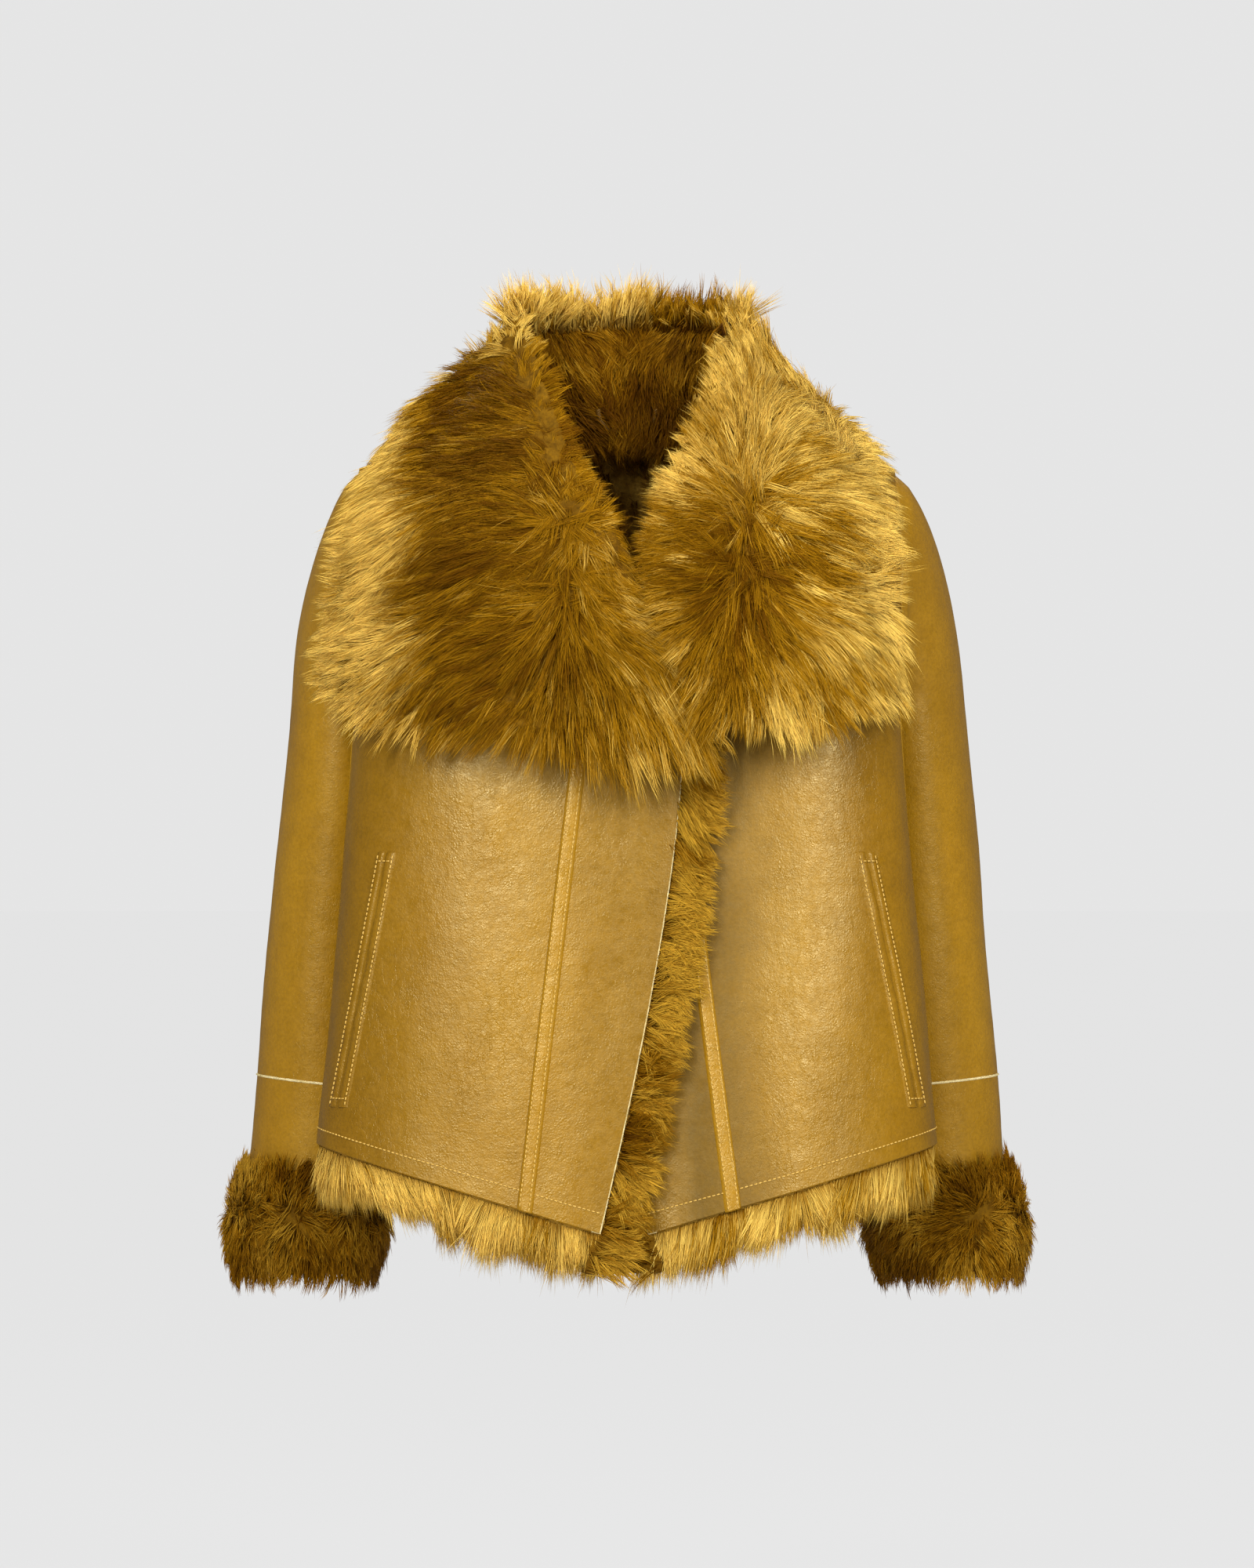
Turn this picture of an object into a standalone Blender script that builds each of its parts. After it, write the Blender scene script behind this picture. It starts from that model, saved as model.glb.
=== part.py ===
"""Short double-face shearling jacket with a fur shawl collar, in metres.

+X is the wearer's left, -Y is the front and +Z is up. The origin is midway between the shoulder
tips, at the height where the neck meets the shoulders. Every panel is one skin: smooth leather
outside and wool inside, so a panel is one solid of the skin's full thickness.
"""

import math

import bmesh
import bpy
from mathutils import Matrix, Vector

# Skin and trims
SKIN = 0.012
GAP = 0.0004
FUR = 0.017
COLLAR_LEATHER = 0.003
STRIP_WIDTH = 0.011
STRIP_NEAR = -0.0036
STRIP_FAR = -0.0016

# Heights
SHOULDER_Z = -0.044
ARMPIT_Z = -0.200
FLAP_Z = -0.262
FLAP_GAP = 0.0015
HEM_GAP = 0.0015
HEM_CENTRE_Z = -0.621
HEM_RISE = 0.295
HEM_BACK_Z = -0.565
HEM_FUR = 0.036
BODY_LENGTH = 0.36

# Plan of the body
CORNER_X = 0.2036
CORNER_FLARE = 0.030
CORNER_Y = -0.058
FRONT_BULGE = 0.077
FRONT_BULGE_FLARE = 0.020
BACK_DEPTH = 0.108
BACK_FLARE = 0.017
SIDE_SEAM = Vector((0.160, 0.012))
SIDE_SEAM_FLARE = 0.010
SQUARENESS = 2.3
SIDE_SHARE = 0.72
CENTRE_STRIP = 0.05

# Gaps left at the seams, as shares of a half back or as turns of a half front
BACK_SEAM_GAP = 0.0022
SIDE_SEAM_GAP = 0.002
SIDE_PANEL_END = 0.9965
CHEST_END = 0.9975
PANEL_END = 0.992
HEM_FUR_END = 0.94
SIDE_HEM_END = 0.95

# Neck and shoulders
NECK_BACK = Vector((0, 0.070, 0))
NECK_SIDE = Vector((0.075, 0.020, -0.002))
SHOULDER = Vector((CORNER_X, 0.015, SHOULDER_Z))
STAND_CENTRE_Y = 0.020
ROLL_X = 0.082
ROLL_Y = 0.068
ROLL_Z = 0.068

# Fronts: the right one laps over the left one
EDGE_TOP_X = 0.040
EDGE_SWEEP = 0.061
SEAM_X = -0.037
SEAM_SWEEP = 0.0385
LAP_DEPTH = 0.022
LAP_RAMP = 0.045
EDGE_FUR_WIDTH = 0.034
UNDER_FUR_WIDTH = 0.026
CHEST_GAP = 0.0052
SHOULDER_SEAM_GAP = 0.0008

# Pockets
POCKET_TOP_Z = -0.334
POCKET_LENGTH = 0.190
POCKET_X = 0.179
POCKET_SLOPE = 0.195
WELT_WIDTH = 0.014
MOUTH_WIDTH = 0.0072
MOUTH_LENGTH = 0.090
BAG_REACH = 0.0150
BAG_WIDTH = 0.095
BAG_WALL = 0.0016
BAG_GAP = 0.0030
BAG_DEPTH = 0.0165
BAG_FLOOR_Z = -0.530

# Sleeves
SLEEVE_TOP_Z = -0.215
ELBOW_Z = -0.305
CUFF_SEAM_Z = -0.510
CUFF_END_Z = -0.650
KNUCKLE = 0.075
CUFF_FUR_PROFILE = ((-0.572, 0.011), (-0.588, 0.020), (-0.620, 0.0225), (-0.648, 0.019), (-0.661, 0.009))

# Hanger loop
LOOP_HALF = 0.022
LOOP_SAG = 0.019
LOOP_RADIUS = 0.002
LOOP_PLACE = Vector((0, 0.0505, 0.004))

# Colours of the leather, the light and the dark fur, and the cotton loop
LEATHER_TONE = (0.45, 0.27, 0.035)
PALE_FUR_TONE = (0.60, 0.39, 0.09)
DARK_FUR_TONE = (0.30, 0.155, 0.02)
RAW_EDGE_TONE = (0.72, 0.58, 0.27)

PIVOTS = {
    "torso": Vector((0, 0, 0)),
    "front_right": Vector((-CORNER_X, CORNER_Y, -0.227)),
    "front_left": Vector((CORNER_X, CORNER_Y, -0.227)),
    "lapel_right": Vector((0, -0.150, -0.100)),
    "lapel_left": Vector((0, -0.150, -0.100)),
    "upper_sleeve_right": Vector((-SHOULDER.x, SHOULDER.y, SHOULDER.z)),
    "upper_sleeve_left": SHOULDER,
    "lower_sleeve_right": Vector((-0.2217, 0.0545, ELBOW_Z)),
    "lower_sleeve_left": Vector((0.2217, 0.0545, ELBOW_Z)),
    "hanger_loop": LOOP_PLACE,
}
PARENTS = {"lower_sleeve_right": "upper_sleeve_right", "lower_sleeve_left": "upper_sleeve_left"}


# ---- Scene, bodies and solids ----


def clear_scene():
    for thing in list(bpy.data.objects):
        bpy.data.objects.remove(thing, do_unlink=True)


def make_pivots():
    """One empty on each joint's axis; the torso's stands at the origin."""
    for body, place in PIVOTS.items():
        pivot = bpy.data.objects.new("pivot_" + body, None)
        parent = PARENTS.get(body, "torso")
        if body != "torso":
            pivot.parent = bpy.data.objects["pivot_" + parent]
            pivot.location = place - PIVOTS[parent]
        bpy.context.collection.objects.link(pivot)


def finish(name, tone, roughness):
    material = bpy.data.materials.new(name + "_finish")
    material.use_nodes = True
    shader = material.node_tree.nodes["Principled BSDF"]
    shader.inputs["Base Color"].default_value = (*tone, 1)
    shader.inputs["Roughness"].default_value = roughness
    shader.inputs["Metallic"].default_value = 0
    return material


def add_solid(name, body, points, faces, tone=LEATHER_TONE, roughness=0.45):
    """A closed mesh from world points, held by its body's pivot."""
    mesh = bpy.data.meshes.new(name)
    mesh.from_pydata(points, [], faces)
    mesh.transform(Matrix.Translation(-PIVOTS[body]))
    shape = bmesh.new()
    shape.from_mesh(mesh)
    bmesh.ops.recalc_face_normals(shape, faces=shape.faces)
    shape.to_mesh(mesh)
    shape.free()
    mesh.shade_smooth()
    mesh.set_sharp_from_angle(angle=math.radians(40))
    mesh.materials.append(finish(name, tone, roughness))
    solid = bpy.data.objects.new(name, mesh)
    solid.parent = bpy.data.objects["pivot_" + body]
    bpy.context.collection.objects.link(solid)
    return solid


def slab(name, body, near, far, **look):
    """A solid between two grids of points that have the same rows and columns."""
    rows = len(near)
    columns = len(near[0])
    points = [p for grid in (near, far) for row in grid for p in row]
    layer = rows * columns

    def index(side, row, column):
        return side * layer + row * columns + column

    faces = []
    for side in (0, 1):
        for row in range(rows - 1):
            for column in range(columns - 1):
                corners = ((row, column), (row, column + 1), (row + 1, column + 1), (row + 1, column))
                faces.append([index(side, *corner) for corner in corners])
    rim = [(0, c) for c in range(columns)]
    rim += [(r, columns - 1) for r in range(1, rows)]
    rim += [(rows - 1, c) for c in range(columns - 2, -1, -1)]
    rim += [(r, 0) for r in range(rows - 2, 0, -1)]
    for a, b in zip(rim, rim[1:] + rim[:1]):
        faces.append([index(0, *a), index(0, *b), index(1, *b), index(1, *a)])
    return add_solid(name, body, points, faces, **look)


def tube(name, body, outer, inner, **look):
    """An open-ended tube wall between two lists of rings."""
    count = len(outer[0])
    rings = outer + inner[::-1]
    points = [p for ring in rings for p in ring]
    faces = []
    for ring in range(len(rings)):
        following = (ring + 1) % len(rings)
        for spoke in range(count):
            onward = (spoke + 1) % count
            a = ring * count
            b = following * count
            faces.append([a + spoke, a + onward, b + onward, b + spoke])
    return add_solid(name, body, points, faces, **look)


# ---- Curves and the inward direction ----


def blend(a, b, share):
    return a + (b - a) * share


def bezier(points, share):
    while len(points) > 1:
        points = [blend(a, b, share) for a, b in zip(points, points[1:])]
    return points[0]


def through(points, share):
    """A smooth curve through the points, which it passes at even shares."""
    place = min(max(share, 0), 1) * (len(points) - 1)
    start = min(int(place), len(points) - 2)
    t = place - start
    before = points[max(start - 1, 0)]
    a, b = points[start], points[start + 1]
    after = points[min(start + 2, len(points) - 1)]
    ease = (b - before) * t + (2 * before - 5 * a + 4 * b - after) * t**2
    return a + (ease + (3 * a - before - 3 * b + after) * t**3) * 0.5


def shares(count, low=0.0, high=1.0):
    return [low + (high - low) * i / (count - 1) for i in range(count)]


def smoothstep(value):
    value = min(max(value, 0), 1)
    return value * value * (3 - 2 * value)


def inward(point):
    """The direction of a skin's thickness at a place: towards the body's own middle."""
    lift = 0.3 * (point.z + 0.25) if point.z > -0.25 else 0
    middle_z = lift - 0.25 if point.z > -0.25 else point.z
    return (Vector((0.5 * point.x, 0, middle_z)) - point).normalized()


def sunk(grid, depth):
    return [[p + inward(p) * depth for p in row] for row in grid]


def skin(name, body, grid, near=0.0, far=SKIN, **look):
    """A slab whose faces lie at two depths below a grid of surface points."""
    return slab(name, body, sunk(grid, near), sunk(grid, far), **look)


def mirrored(grid):
    return [[Vector((-p.x, p.y, p.z)) for p in row] for row in grid]


# ---- The body's surface ----


def flare(z):
    return max(ARMPIT_Z - z, 0) / BODY_LENGTH


def corner_x(z):
    return CORNER_X + CORNER_FLARE * flare(z) ** 1.3


def front_point(x, z, lap=0.0):
    across = min(abs(x) / corner_x(z), 1)
    bulge = FRONT_BULGE + FRONT_BULGE_FLARE * flare(z)
    point = Vector((x, CORNER_Y - bulge * (1 - across**SQUARENESS) ** (1 / SQUARENESS), z))
    return point + inward(point) * lap


def front_x(z, turn):
    """x on the front at a turn from 0, the centre, to 1, the side corner."""
    return corner_x(z) * math.sin(turn * math.pi / 2) ** (2 / SQUARENESS)


def turn_of(x, z):
    return math.asin(min(abs(x) / corner_x(z), 1) ** (SQUARENESS / 2)) / (math.pi / 2)


def rear_point(share, z):
    """share 0 is the centre back, SIDE_SHARE the side seam and 1 the front corner; x is positive."""
    wide = SIDE_SEAM.x + SIDE_SEAM_FLARE * flare(z)
    if share <= SIDE_SHARE:
        turn = share / SIDE_SHARE * math.pi / 2
        deep = BACK_DEPTH + BACK_FLARE * flare(z) - SIDE_SEAM.y
        x = wide * math.sin(turn) ** (2 / SQUARENESS)
        return Vector((x, SIDE_SEAM.y + deep * math.cos(turn) ** (2 / SQUARENESS), z))
    corner = Vector((corner_x(z), CORNER_Y))
    control = corner + Vector((0, 0.025))
    along = (share - SIDE_SHARE) / (1 - SIDE_SHARE)
    plan = bezier([Vector((wide, SIDE_SEAM.y)), control, corner], along)
    return Vector((plan.x, plan.y, z))


def front_hem_z(x):
    return HEM_CENTRE_Z + HEM_RISE * abs(x)


def rear_hem_z(share):
    corner_z = front_hem_z(corner_x(HEM_BACK_Z))
    return blend(HEM_BACK_Z, corner_z, share**2)


def hem_rows(column, top_z, hem_z, rows):
    """Points down one column, whose x follows its height, from top_z to the hem."""
    points = []
    for share in shares(rows):
        z = blend(top_z, hem_z(column(top_z)), share)
        for _ in range(4):
            z = blend(top_z, hem_z(column(z)), share)
        points.append((column(z), z))
    return points


# ---- Torso ----


def back_grid(low, high, columns):
    """The back from neck and shoulder to the hem, between two shares of the half back."""
    grid = []
    across = shares(columns, low, high)
    for along in shares(5)[:-1]:
        row = []
        for s in across:
            top = back_top(s)
            bottom = rear_point(SIDE_SHARE * s, ARMPIT_Z)
            control = Vector(((top.x + bottom.x) / 2 + 0.006 * s, 0.105 + 0.07 * s * s, -0.05 - 0.078 * s))
            row.append(bezier([top, control, bottom], along))
        grid.append(row)
    for along in shares(7):
        row = [rear_point(SIDE_SHARE * s, blend(ARMPIT_Z, rear_hem_z(SIDE_SHARE * s), along)) for s in across]
        grid.append(row)
    return grid


def back_top(s):
    neck_share = 0.40
    if s <= neck_share:
        return bezier([NECK_BACK, Vector((0.062, 0.068, 0)), NECK_SIDE], s / neck_share)
    return blend(NECK_SIDE, SHOULDER, (s - neck_share) / (1 - neck_share))


def make_back():
    strip = CENTRE_STRIP
    half = back_grid(strip + BACK_SEAM_GAP, 1 - BACK_SEAM_GAP, 8)
    skin("back_panel_left", "torso", half)
    skin("back_panel_right", "torso", mirrored(half))
    middle = [mirrored([row])[0][::-1] + row[1:] for row in back_grid(0, strip, 3)]
    skin("centre_back_strip", "torso", middle)


def make_sides():
    low = SIDE_SHARE + SIDE_SEAM_GAP
    rows = [
        [rear_point(s, blend(ARMPIT_Z, rear_hem_z(s), along)) for s in shares(6, low, SIDE_PANEL_END)]
        for along in shares(7)
    ]
    skin("side_panel_left", "torso", rows)
    skin("side_panel_right", "torso", mirrored(rows))


def chest_point(side, s, along):
    """s runs from the centre edge to the armhole and along from the shoulder down to FLAP_Z."""
    edge = EDGE_TOP_X if side > 0 else EDGE_TOP_X - CHEST_GAP
    turns = blend(turn_of(edge, ARMPIT_Z) * side, CHEST_END, s)
    if along > 0.8:
        z = blend(ARMPIT_Z, FLAP_Z + FLAP_GAP, (along - 0.8) / 0.2)
    else:
        z = ARMPIT_Z
    x = math.copysign(front_x(z, abs(turns)), turns) * side
    bottom = front_point(x, z)
    if along > 0.8:
        return bottom
    neck = Vector((side * NECK_SIDE.x, NECK_SIDE.y, NECK_SIDE.z))
    tip = Vector((side * SHOULDER.x, SHOULDER.y, SHOULDER.z))
    centre_x = 0.012 if side > 0 else -0.0045
    control = blend(Vector((centre_x, -0.1625, -0.089)), Vector((side * 0.2067, -0.0725, -0.107)), s)
    control.y = -0.0725 - 0.090 * (1 - s**2.2)
    return bezier([blend(neck, tip, s), control, bottom], along / 0.8)


def make_chest():
    rows = [0, 0.14, 0.28, 0.42, 0.56, 0.68, 0.8, 1.0]
    columns = shares(9)
    for side, name in ((1, "left"), (-1, "right")):
        grid = [[chest_point(side, s, along) for s in columns] for along in rows]
        grid[0] = [p - Vector((0, SHOULDER_SEAM_GAP, 0)) for p in grid[0]]
        skin("chest_panel_" + name, "torso", grid)


def make_torso_hem_fur():
    def band(low, high, columns):
        return [
            [rear_point(s, rear_hem_z(s) - HEM_GAP - drop * HEM_FUR) for s in shares(columns, low, high)]
            for drop in shares(3)
        ]

    look = {"near": -0.003, "far": 0.0155, "tone": PALE_FUR_TONE, "roughness": 0.9}
    half = band(0, SIDE_SHARE - SIDE_SEAM_GAP, 9)
    middle = [mirrored([row])[0][::-1] + row[1:] for row in half]
    skin("back_hem_fur", "torso", middle, **look)
    side = band(SIDE_SHARE + SIDE_SEAM_GAP, SIDE_HEM_END, 5)
    skin("side_hem_fur_left", "torso", side, **look)
    skin("side_hem_fur_right", "torso", mirrored(side), **look)


# ---- Fronts ----


def edge_x(z):
    return EDGE_TOP_X - EDGE_SWEEP * (max(-z - 0.274, 0) / 0.344) ** 1.35


def seam_x(side, z):
    right = SEAM_X - SEAM_SWEEP * (-z - 0.274) / 0.322
    return right if side < 0 else 0.003 - right


def pocket_x(z):
    return POCKET_X + POCKET_SLOPE * (-z - 0.338)


def fur_edge_x(z):
    return edge_x(z) + blend(EDGE_FUR_WIDTH, 0.027, min(max(-z - 0.27, 0) / 0.36, 1))


def lap_at(side, x, z):
    """How deep the left front sinks behind the right one."""
    if side < 0:
        return 0.0
    return LAP_DEPTH * (1 - smoothstep((x - fur_edge_x(z) - 0.006) / LAP_RAMP))


def inner_edge_x(side, z):
    return edge_x(z) if side < 0 else -edge_x(z) - 0.004


def panel_column(side, number):
    """x of one of the front panel's columns, from the side corner (0) to the seam (9)."""

    def column(z):
        outer = pocket_x(z) + WELT_WIDTH / 2
        inner = pocket_x(z) - WELT_WIDTH / 2
        seam = seam_x(side, z)
        near_seam = seam + side * STRIP_WIDTH / 2
        if number < 3:
            return side * front_x(z, blend(PANEL_END, turn_of(outer, z), number / 3))
        if number == 3:
            return side * outer
        if number < 8:
            return blend(side * inner, near_seam, (number - 4) / 4)
        return near_seam if number == 8 else seam + side * GAP / 2

    return column


def band_column(side, number):
    """x of one of the front band's columns, from the seam (0) to the front edge (3)."""

    def column(z):
        seam = seam_x(side, z)
        near_seam = seam - side * STRIP_WIDTH / 2
        if number == 0:
            return seam - side * GAP / 2
        return blend(near_seam, inner_edge_x(side, z) + side * GAP / 2, (number - 1) / 2)

    return column


def front_grid(side, columns, rows=8, top_z=FLAP_Z):
    lines = [hem_rows(column, top_z, front_hem_z, rows) for column in columns]
    return [[front_point(x, z, lap_at(side, x, z)) for x, z in row] for row in zip(*lines)]


def strip_column(side, place):
    return lambda z: seam_x(side, z) + place * STRIP_WIDTH / 2


def make_front(side, name):
    body = "front_" + name
    panel = skin("front_panel_" + name, body, front_grid(side, [panel_column(side, i) for i in range(10)]))
    skin("front_band_" + name, body, front_grid(side, [band_column(side, i) for i in range(4)]))
    strip = front_grid(side, [strip_column(side, place) for place in (-1, 0, 1)])
    skin("seam_strip_" + name, body, strip, STRIP_NEAR, STRIP_FAR)
    make_edge_fur(side, body, name)
    make_front_hem_fur(side, body, name)
    make_pocket(side, body, name, panel)


def make_edge_fur(side, body, name):
    """The strip of fur down the front edge, hanging a little past the hem."""
    grid = []
    for along in shares(9):
        z = blend(FLAP_Z, HEM_CENTRE_Z - 0.026, along)
        edge = inner_edge_x(side, z)
        reach = fur_edge_x(z) if side < 0 else edge - UNDER_FUR_WIDTH
        row = [blend(edge - side * GAP / 2, reach, s) for s in (0, 0.5, 1)]
        grid.append([front_point(x, z, 0 if side < 0 else LAP_DEPTH) for x in row])
    near, far = (-0.006, 0.014) if side < 0 else (-0.003, 0.012)
    skin("edge_fur_" + name, body, grid, near, far, tone=DARK_FUR_TONE, roughness=0.9)


def make_front_hem_fur(side, body, name):
    low_z = HEM_CENTRE_Z - HEM_FUR
    inner = side * inner_edge_x(side, low_z) + 0.002
    inner_turn = math.copysign(turn_of(inner, low_z), inner)
    grid = []
    for drop in shares(3):
        row = []
        for turn in shares(11, HEM_FUR_END, inner_turn):
            x = side * math.copysign(front_x(HEM_BACK_Z, abs(turn)), turn)
            z = front_hem_z(x) - HEM_GAP - drop * HEM_FUR
            row.append(front_point(x, z, lap_at(side, x, z)))
        grid.append(row)
    skin("hem_fur_" + name, body, grid, -0.002, 0.0155, tone=PALE_FUR_TONE, roughness=0.9)


# ---- Pockets ----


def mouth_cutter(side, body, name):
    """A slanted prism along Y, as wide as the pocket's mouth."""
    top = POCKET_TOP_Z - 0.016
    heights = (top, top - MOUTH_LENGTH)
    points = []
    for y in (-0.24, -0.078):
        for z in heights:
            for half in (-0.5, 0.5):
                points.append(Vector((side * pocket_x(z) + half * MOUTH_WIDTH, y, z)))
    faces = [(0, 1, 3, 2), (4, 6, 7, 5), (0, 4, 5, 1), (2, 3, 7, 6), (0, 2, 6, 4), (1, 5, 7, 3)]
    cutter = add_solid("pocket_mouth_cutter_" + name, body, points, faces)
    cutter.hide_render = True
    cutter.display_type = "WIRE"
    return cutter


def cut(solid, cutter):
    hole = solid.modifiers.new("mouth", "BOOLEAN")
    hole.operation = "DIFFERENCE"
    hole.object = cutter


def bag_points(side, inset, near, far):
    """The corner columns of the pocket bag's outside, or of its hollow when inset."""
    grids = ([], [])
    for along in shares(6):
        z = blend(POCKET_TOP_Z - 0.008 - inset, BAG_FLOOR_Z + inset, along)
        lateral = min(pocket_x(z), pocket_x(POCKET_TOP_Z - 0.1)) + BAG_REACH - inset
        medial = pocket_x(z) - BAG_WIDTH + inset
        across = [side * blend(lateral, medial, s) for s in (0, 0.11, 0.28, 0.5, 0.75, 1)]
        row = [front_point(x, z, lap_at(side, x, z)) for x in across]
        for grid, depth in zip(grids, (near, far)):
            grid.append([p + inward(p) * depth for p in row])
    return grids


def make_pocket(side, body, name, panel):
    cutter = mouth_cutter(side, body, name)
    rows = shares(8, POCKET_TOP_Z, POCKET_TOP_Z - POCKET_LENGTH)
    grid = [
        [front_point(side * (pocket_x(z) + place * WELT_WIDTH / 2), z) for place in (-1, 1)] for z in rows
    ]
    welt = skin("pocket_welt_" + name, body, grid, STRIP_NEAR - GAP, STRIP_FAR)
    front = SKIN + BAG_GAP
    bag = slab("pocket_bag_" + name, body, *bag_points(side, 0, front, front + BAG_DEPTH))
    hollow_grids = bag_points(side, BAG_WALL, front + BAG_WALL, front + BAG_DEPTH - BAG_WALL)
    hollow = slab("pocket_hollow_cutter_" + name, body, *hollow_grids)
    hollow.hide_render = True
    hollow.display_type = "WIRE"
    cut(bag, hollow)
    for solid in (panel, welt, bag):
        cut(solid, cutter)


# ---- Collar and lapels ----


def roll_point(turn):
    """The collar's highest line; turn 0 is the centre back and 1 the wearer's left side."""
    angle = turn * math.pi / 2
    x = ROLL_X * math.sin(angle)
    return Vector((x, STAND_CENTRE_Y + ROLL_Y * math.cos(angle), ROLL_Z + 0.007 * math.cos(angle)))


def make_collar_stand():
    def wall(depth):
        grid = []
        for rise in shares(4):
            row = []
            for turn in shares(15, -1.12, 1.12):
                angle = turn * math.pi / 2
                foot = Vector((0.078 * math.sin(angle), 0.02 + 0.052 * math.cos(angle), 0.0025))
                point = blend(foot, roll_point(turn) - Vector((0, 0, 0.008)), rise)
                middle = Vector((0, STAND_CENTRE_Y, point.z))
                row.append(point + (middle - point).normalized() * depth)
            grid.append(row)
        return grid

    slab("collar_stand", "torso", wall(0), wall(SKIN), tone=DARK_FUR_TONE, roughness=0.9)


def make_collar_fall():
    """The back of the collar, folded down from the roll line over the shoulders."""
    edge = [
        Vector((0, 0.140, -0.190)),
        Vector((0.120, 0.136, -0.170)),
        Vector((0.168, 0.118, -0.120)),
        Vector((0.186, 0.075, -0.055)),
        Vector((0.193, 0.017, -0.028)),
    ]
    half = []
    for along in shares(7):
        row = []
        for turn in shares(7):
            high = roll_point(turn)
            low = through(edge, turn)
            control = blend(Vector((high.x, 0.150, 0.062)), Vector((0.145, 0.020, 0.045)), turn)
            row.append(bezier([high, control, low], along))
        half.append(row)
    whole = [mirrored([row])[0][::-1] + row[1:] for row in half]
    skin("collar_fall", "torso", whole, -FUR, COLLAR_LEATHER, tone=PALE_FUR_TONE, roughness=0.9)


def coons(top, bottom, medial, lateral, rows, columns):
    """A surface spanned by four edge curves; each takes a share from 0 to 1."""
    grid = []
    for v in shares(rows):
        row = []
        for u in shares(columns):
            ruled = blend(top(u), bottom(u), v) + blend(medial(v), lateral(v), u)
            row.append(ruled - blend(blend(top(0), top(1), u), blend(bottom(0), bottom(1), u), v))
        grid.append(row)
    return grid


def make_lapel(side, name):
    """A lapel from the roll line to its outer edge; the right one crosses the centre line."""
    roll_top = Vector((0.0825, 0.0175, 0.068))
    shoulder = Vector((0.193, 0.0125, -0.028))
    roll = [roll_top, Vector((0.063, -0.060, 0.020)), Vector((0.036, -0.122, -0.056))]
    if side < 0:
        medial = roll + [Vector((0.0070, -0.153, -0.102)), Vector((-0.026, -0.166, -0.175))]
        medial += [Vector((-0.057, -0.168, -0.243))]
        lateral = [shoulder, Vector((0.212, -0.062, -0.085)), Vector((0.226, -0.072, -0.150))]
        lateral += [Vector((0.232, -0.078, -0.212))]
        bottom = [medial[-1], Vector((0.040, -0.172, -0.243)), Vector((0.145, -0.145, -0.232)), lateral[-1]]
    else:
        medial = roll + [Vector((0.0170, -0.151, -0.092)), Vector((0.0390, -0.166, -0.160))]
        medial += [Vector((0.0610, -0.169, -0.222))]
        lateral = [shoulder, Vector((0.200, -0.064, -0.085)), Vector((0.207, -0.079, -0.150))]
        lateral += [Vector((0.213, -0.085, -0.208))]
        bottom = [medial[-1], Vector((0.110, -0.166, -0.224)), Vector((0.165, -0.142, -0.218)), lateral[-1]]
    grid = coons(
        lambda u: bezier([roll_top, Vector((0.145, 0.0155, 0.045)), shoulder], u),
        lambda u: through(bottom, u),
        lambda v: through(medial, v),
        lambda v: through(lateral, v),
        11,
        8,
    )
    if side < 0:
        grid = mirrored(grid)
    skin("lapel_" + name, "lapel_" + name, grid, -FUR, COLLAR_LEATHER, tone=PALE_FUR_TONE, roughness=0.9)


# ---- Sleeves ----


def sleeve_ring_point(z, angle, grow):
    """A point on the sleeve's outline; angle 0 is its outer side and 90 degrees its front."""
    below = SLEEVE_TOP_Z - z
    outer = 0.2575 + 0.0905 * below
    inner = 0.1725 + 0.058 * below
    deep = through([Vector((0.070, 0)), Vector((0.062, 0)), Vector((0.056, 0)), Vector((0.052, 0))], below / 0.40).x
    x = (outer + inner) / 2 + ((outer - inner) / 2 + grow) * math.cos(angle)
    y = 0.05 + 0.05 * below - (deep + grow) * math.sin(angle)
    return Vector((x, y, z))


def armhole_point(angle, grow):
    """The ring where the sleeve meets the body, just outside the panels' own edges."""
    ring = [
        SHOULDER,
        Vector((0.2052, -0.022, -0.080)),
        Vector((0.2060, -0.045, -0.130)),
        Vector((0.2036, -0.050, -0.190)),
        Vector((0.1665, 0.015, -0.193)),
        Vector((0.1720, 0.052, -0.180)),
        Vector((0.1865, 0.095, -0.125)),
        Vector((0.1960, 0.058, -0.068)),
    ]
    share = angle / (2 * math.pi) * len(ring)
    start = int(share) % len(ring)
    near = [ring[(start + k) % len(ring)] for k in (-1, 0, 1, 2)]
    point = through(near, (1 + share - int(share)) / 3)
    point += Vector((0.0020, 0, 0))
    middle = Vector((0.192, 0.025, -0.125))
    return point + (point - middle).normalized() * grow


def knuckle_z(point, elbow, radius):
    """Height of the elbow's round face at a point; its centre line is the elbow's axis."""
    along = (point.x - elbow.x - point.y + elbow.y) / math.sqrt(2)
    return elbow.z - math.sqrt(radius**2 - along**2)


def knuckle_point(angle, grow, elbow, radius):
    z = elbow.z - radius
    for _ in range(6):
        z = knuckle_z(sleeve_ring_point(z, angle, grow), elbow, radius)
    return sleeve_ring_point(z, angle, grow)


def ring_angles(count=20):
    return [2 * math.pi * i / count for i in range(count)]


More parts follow.
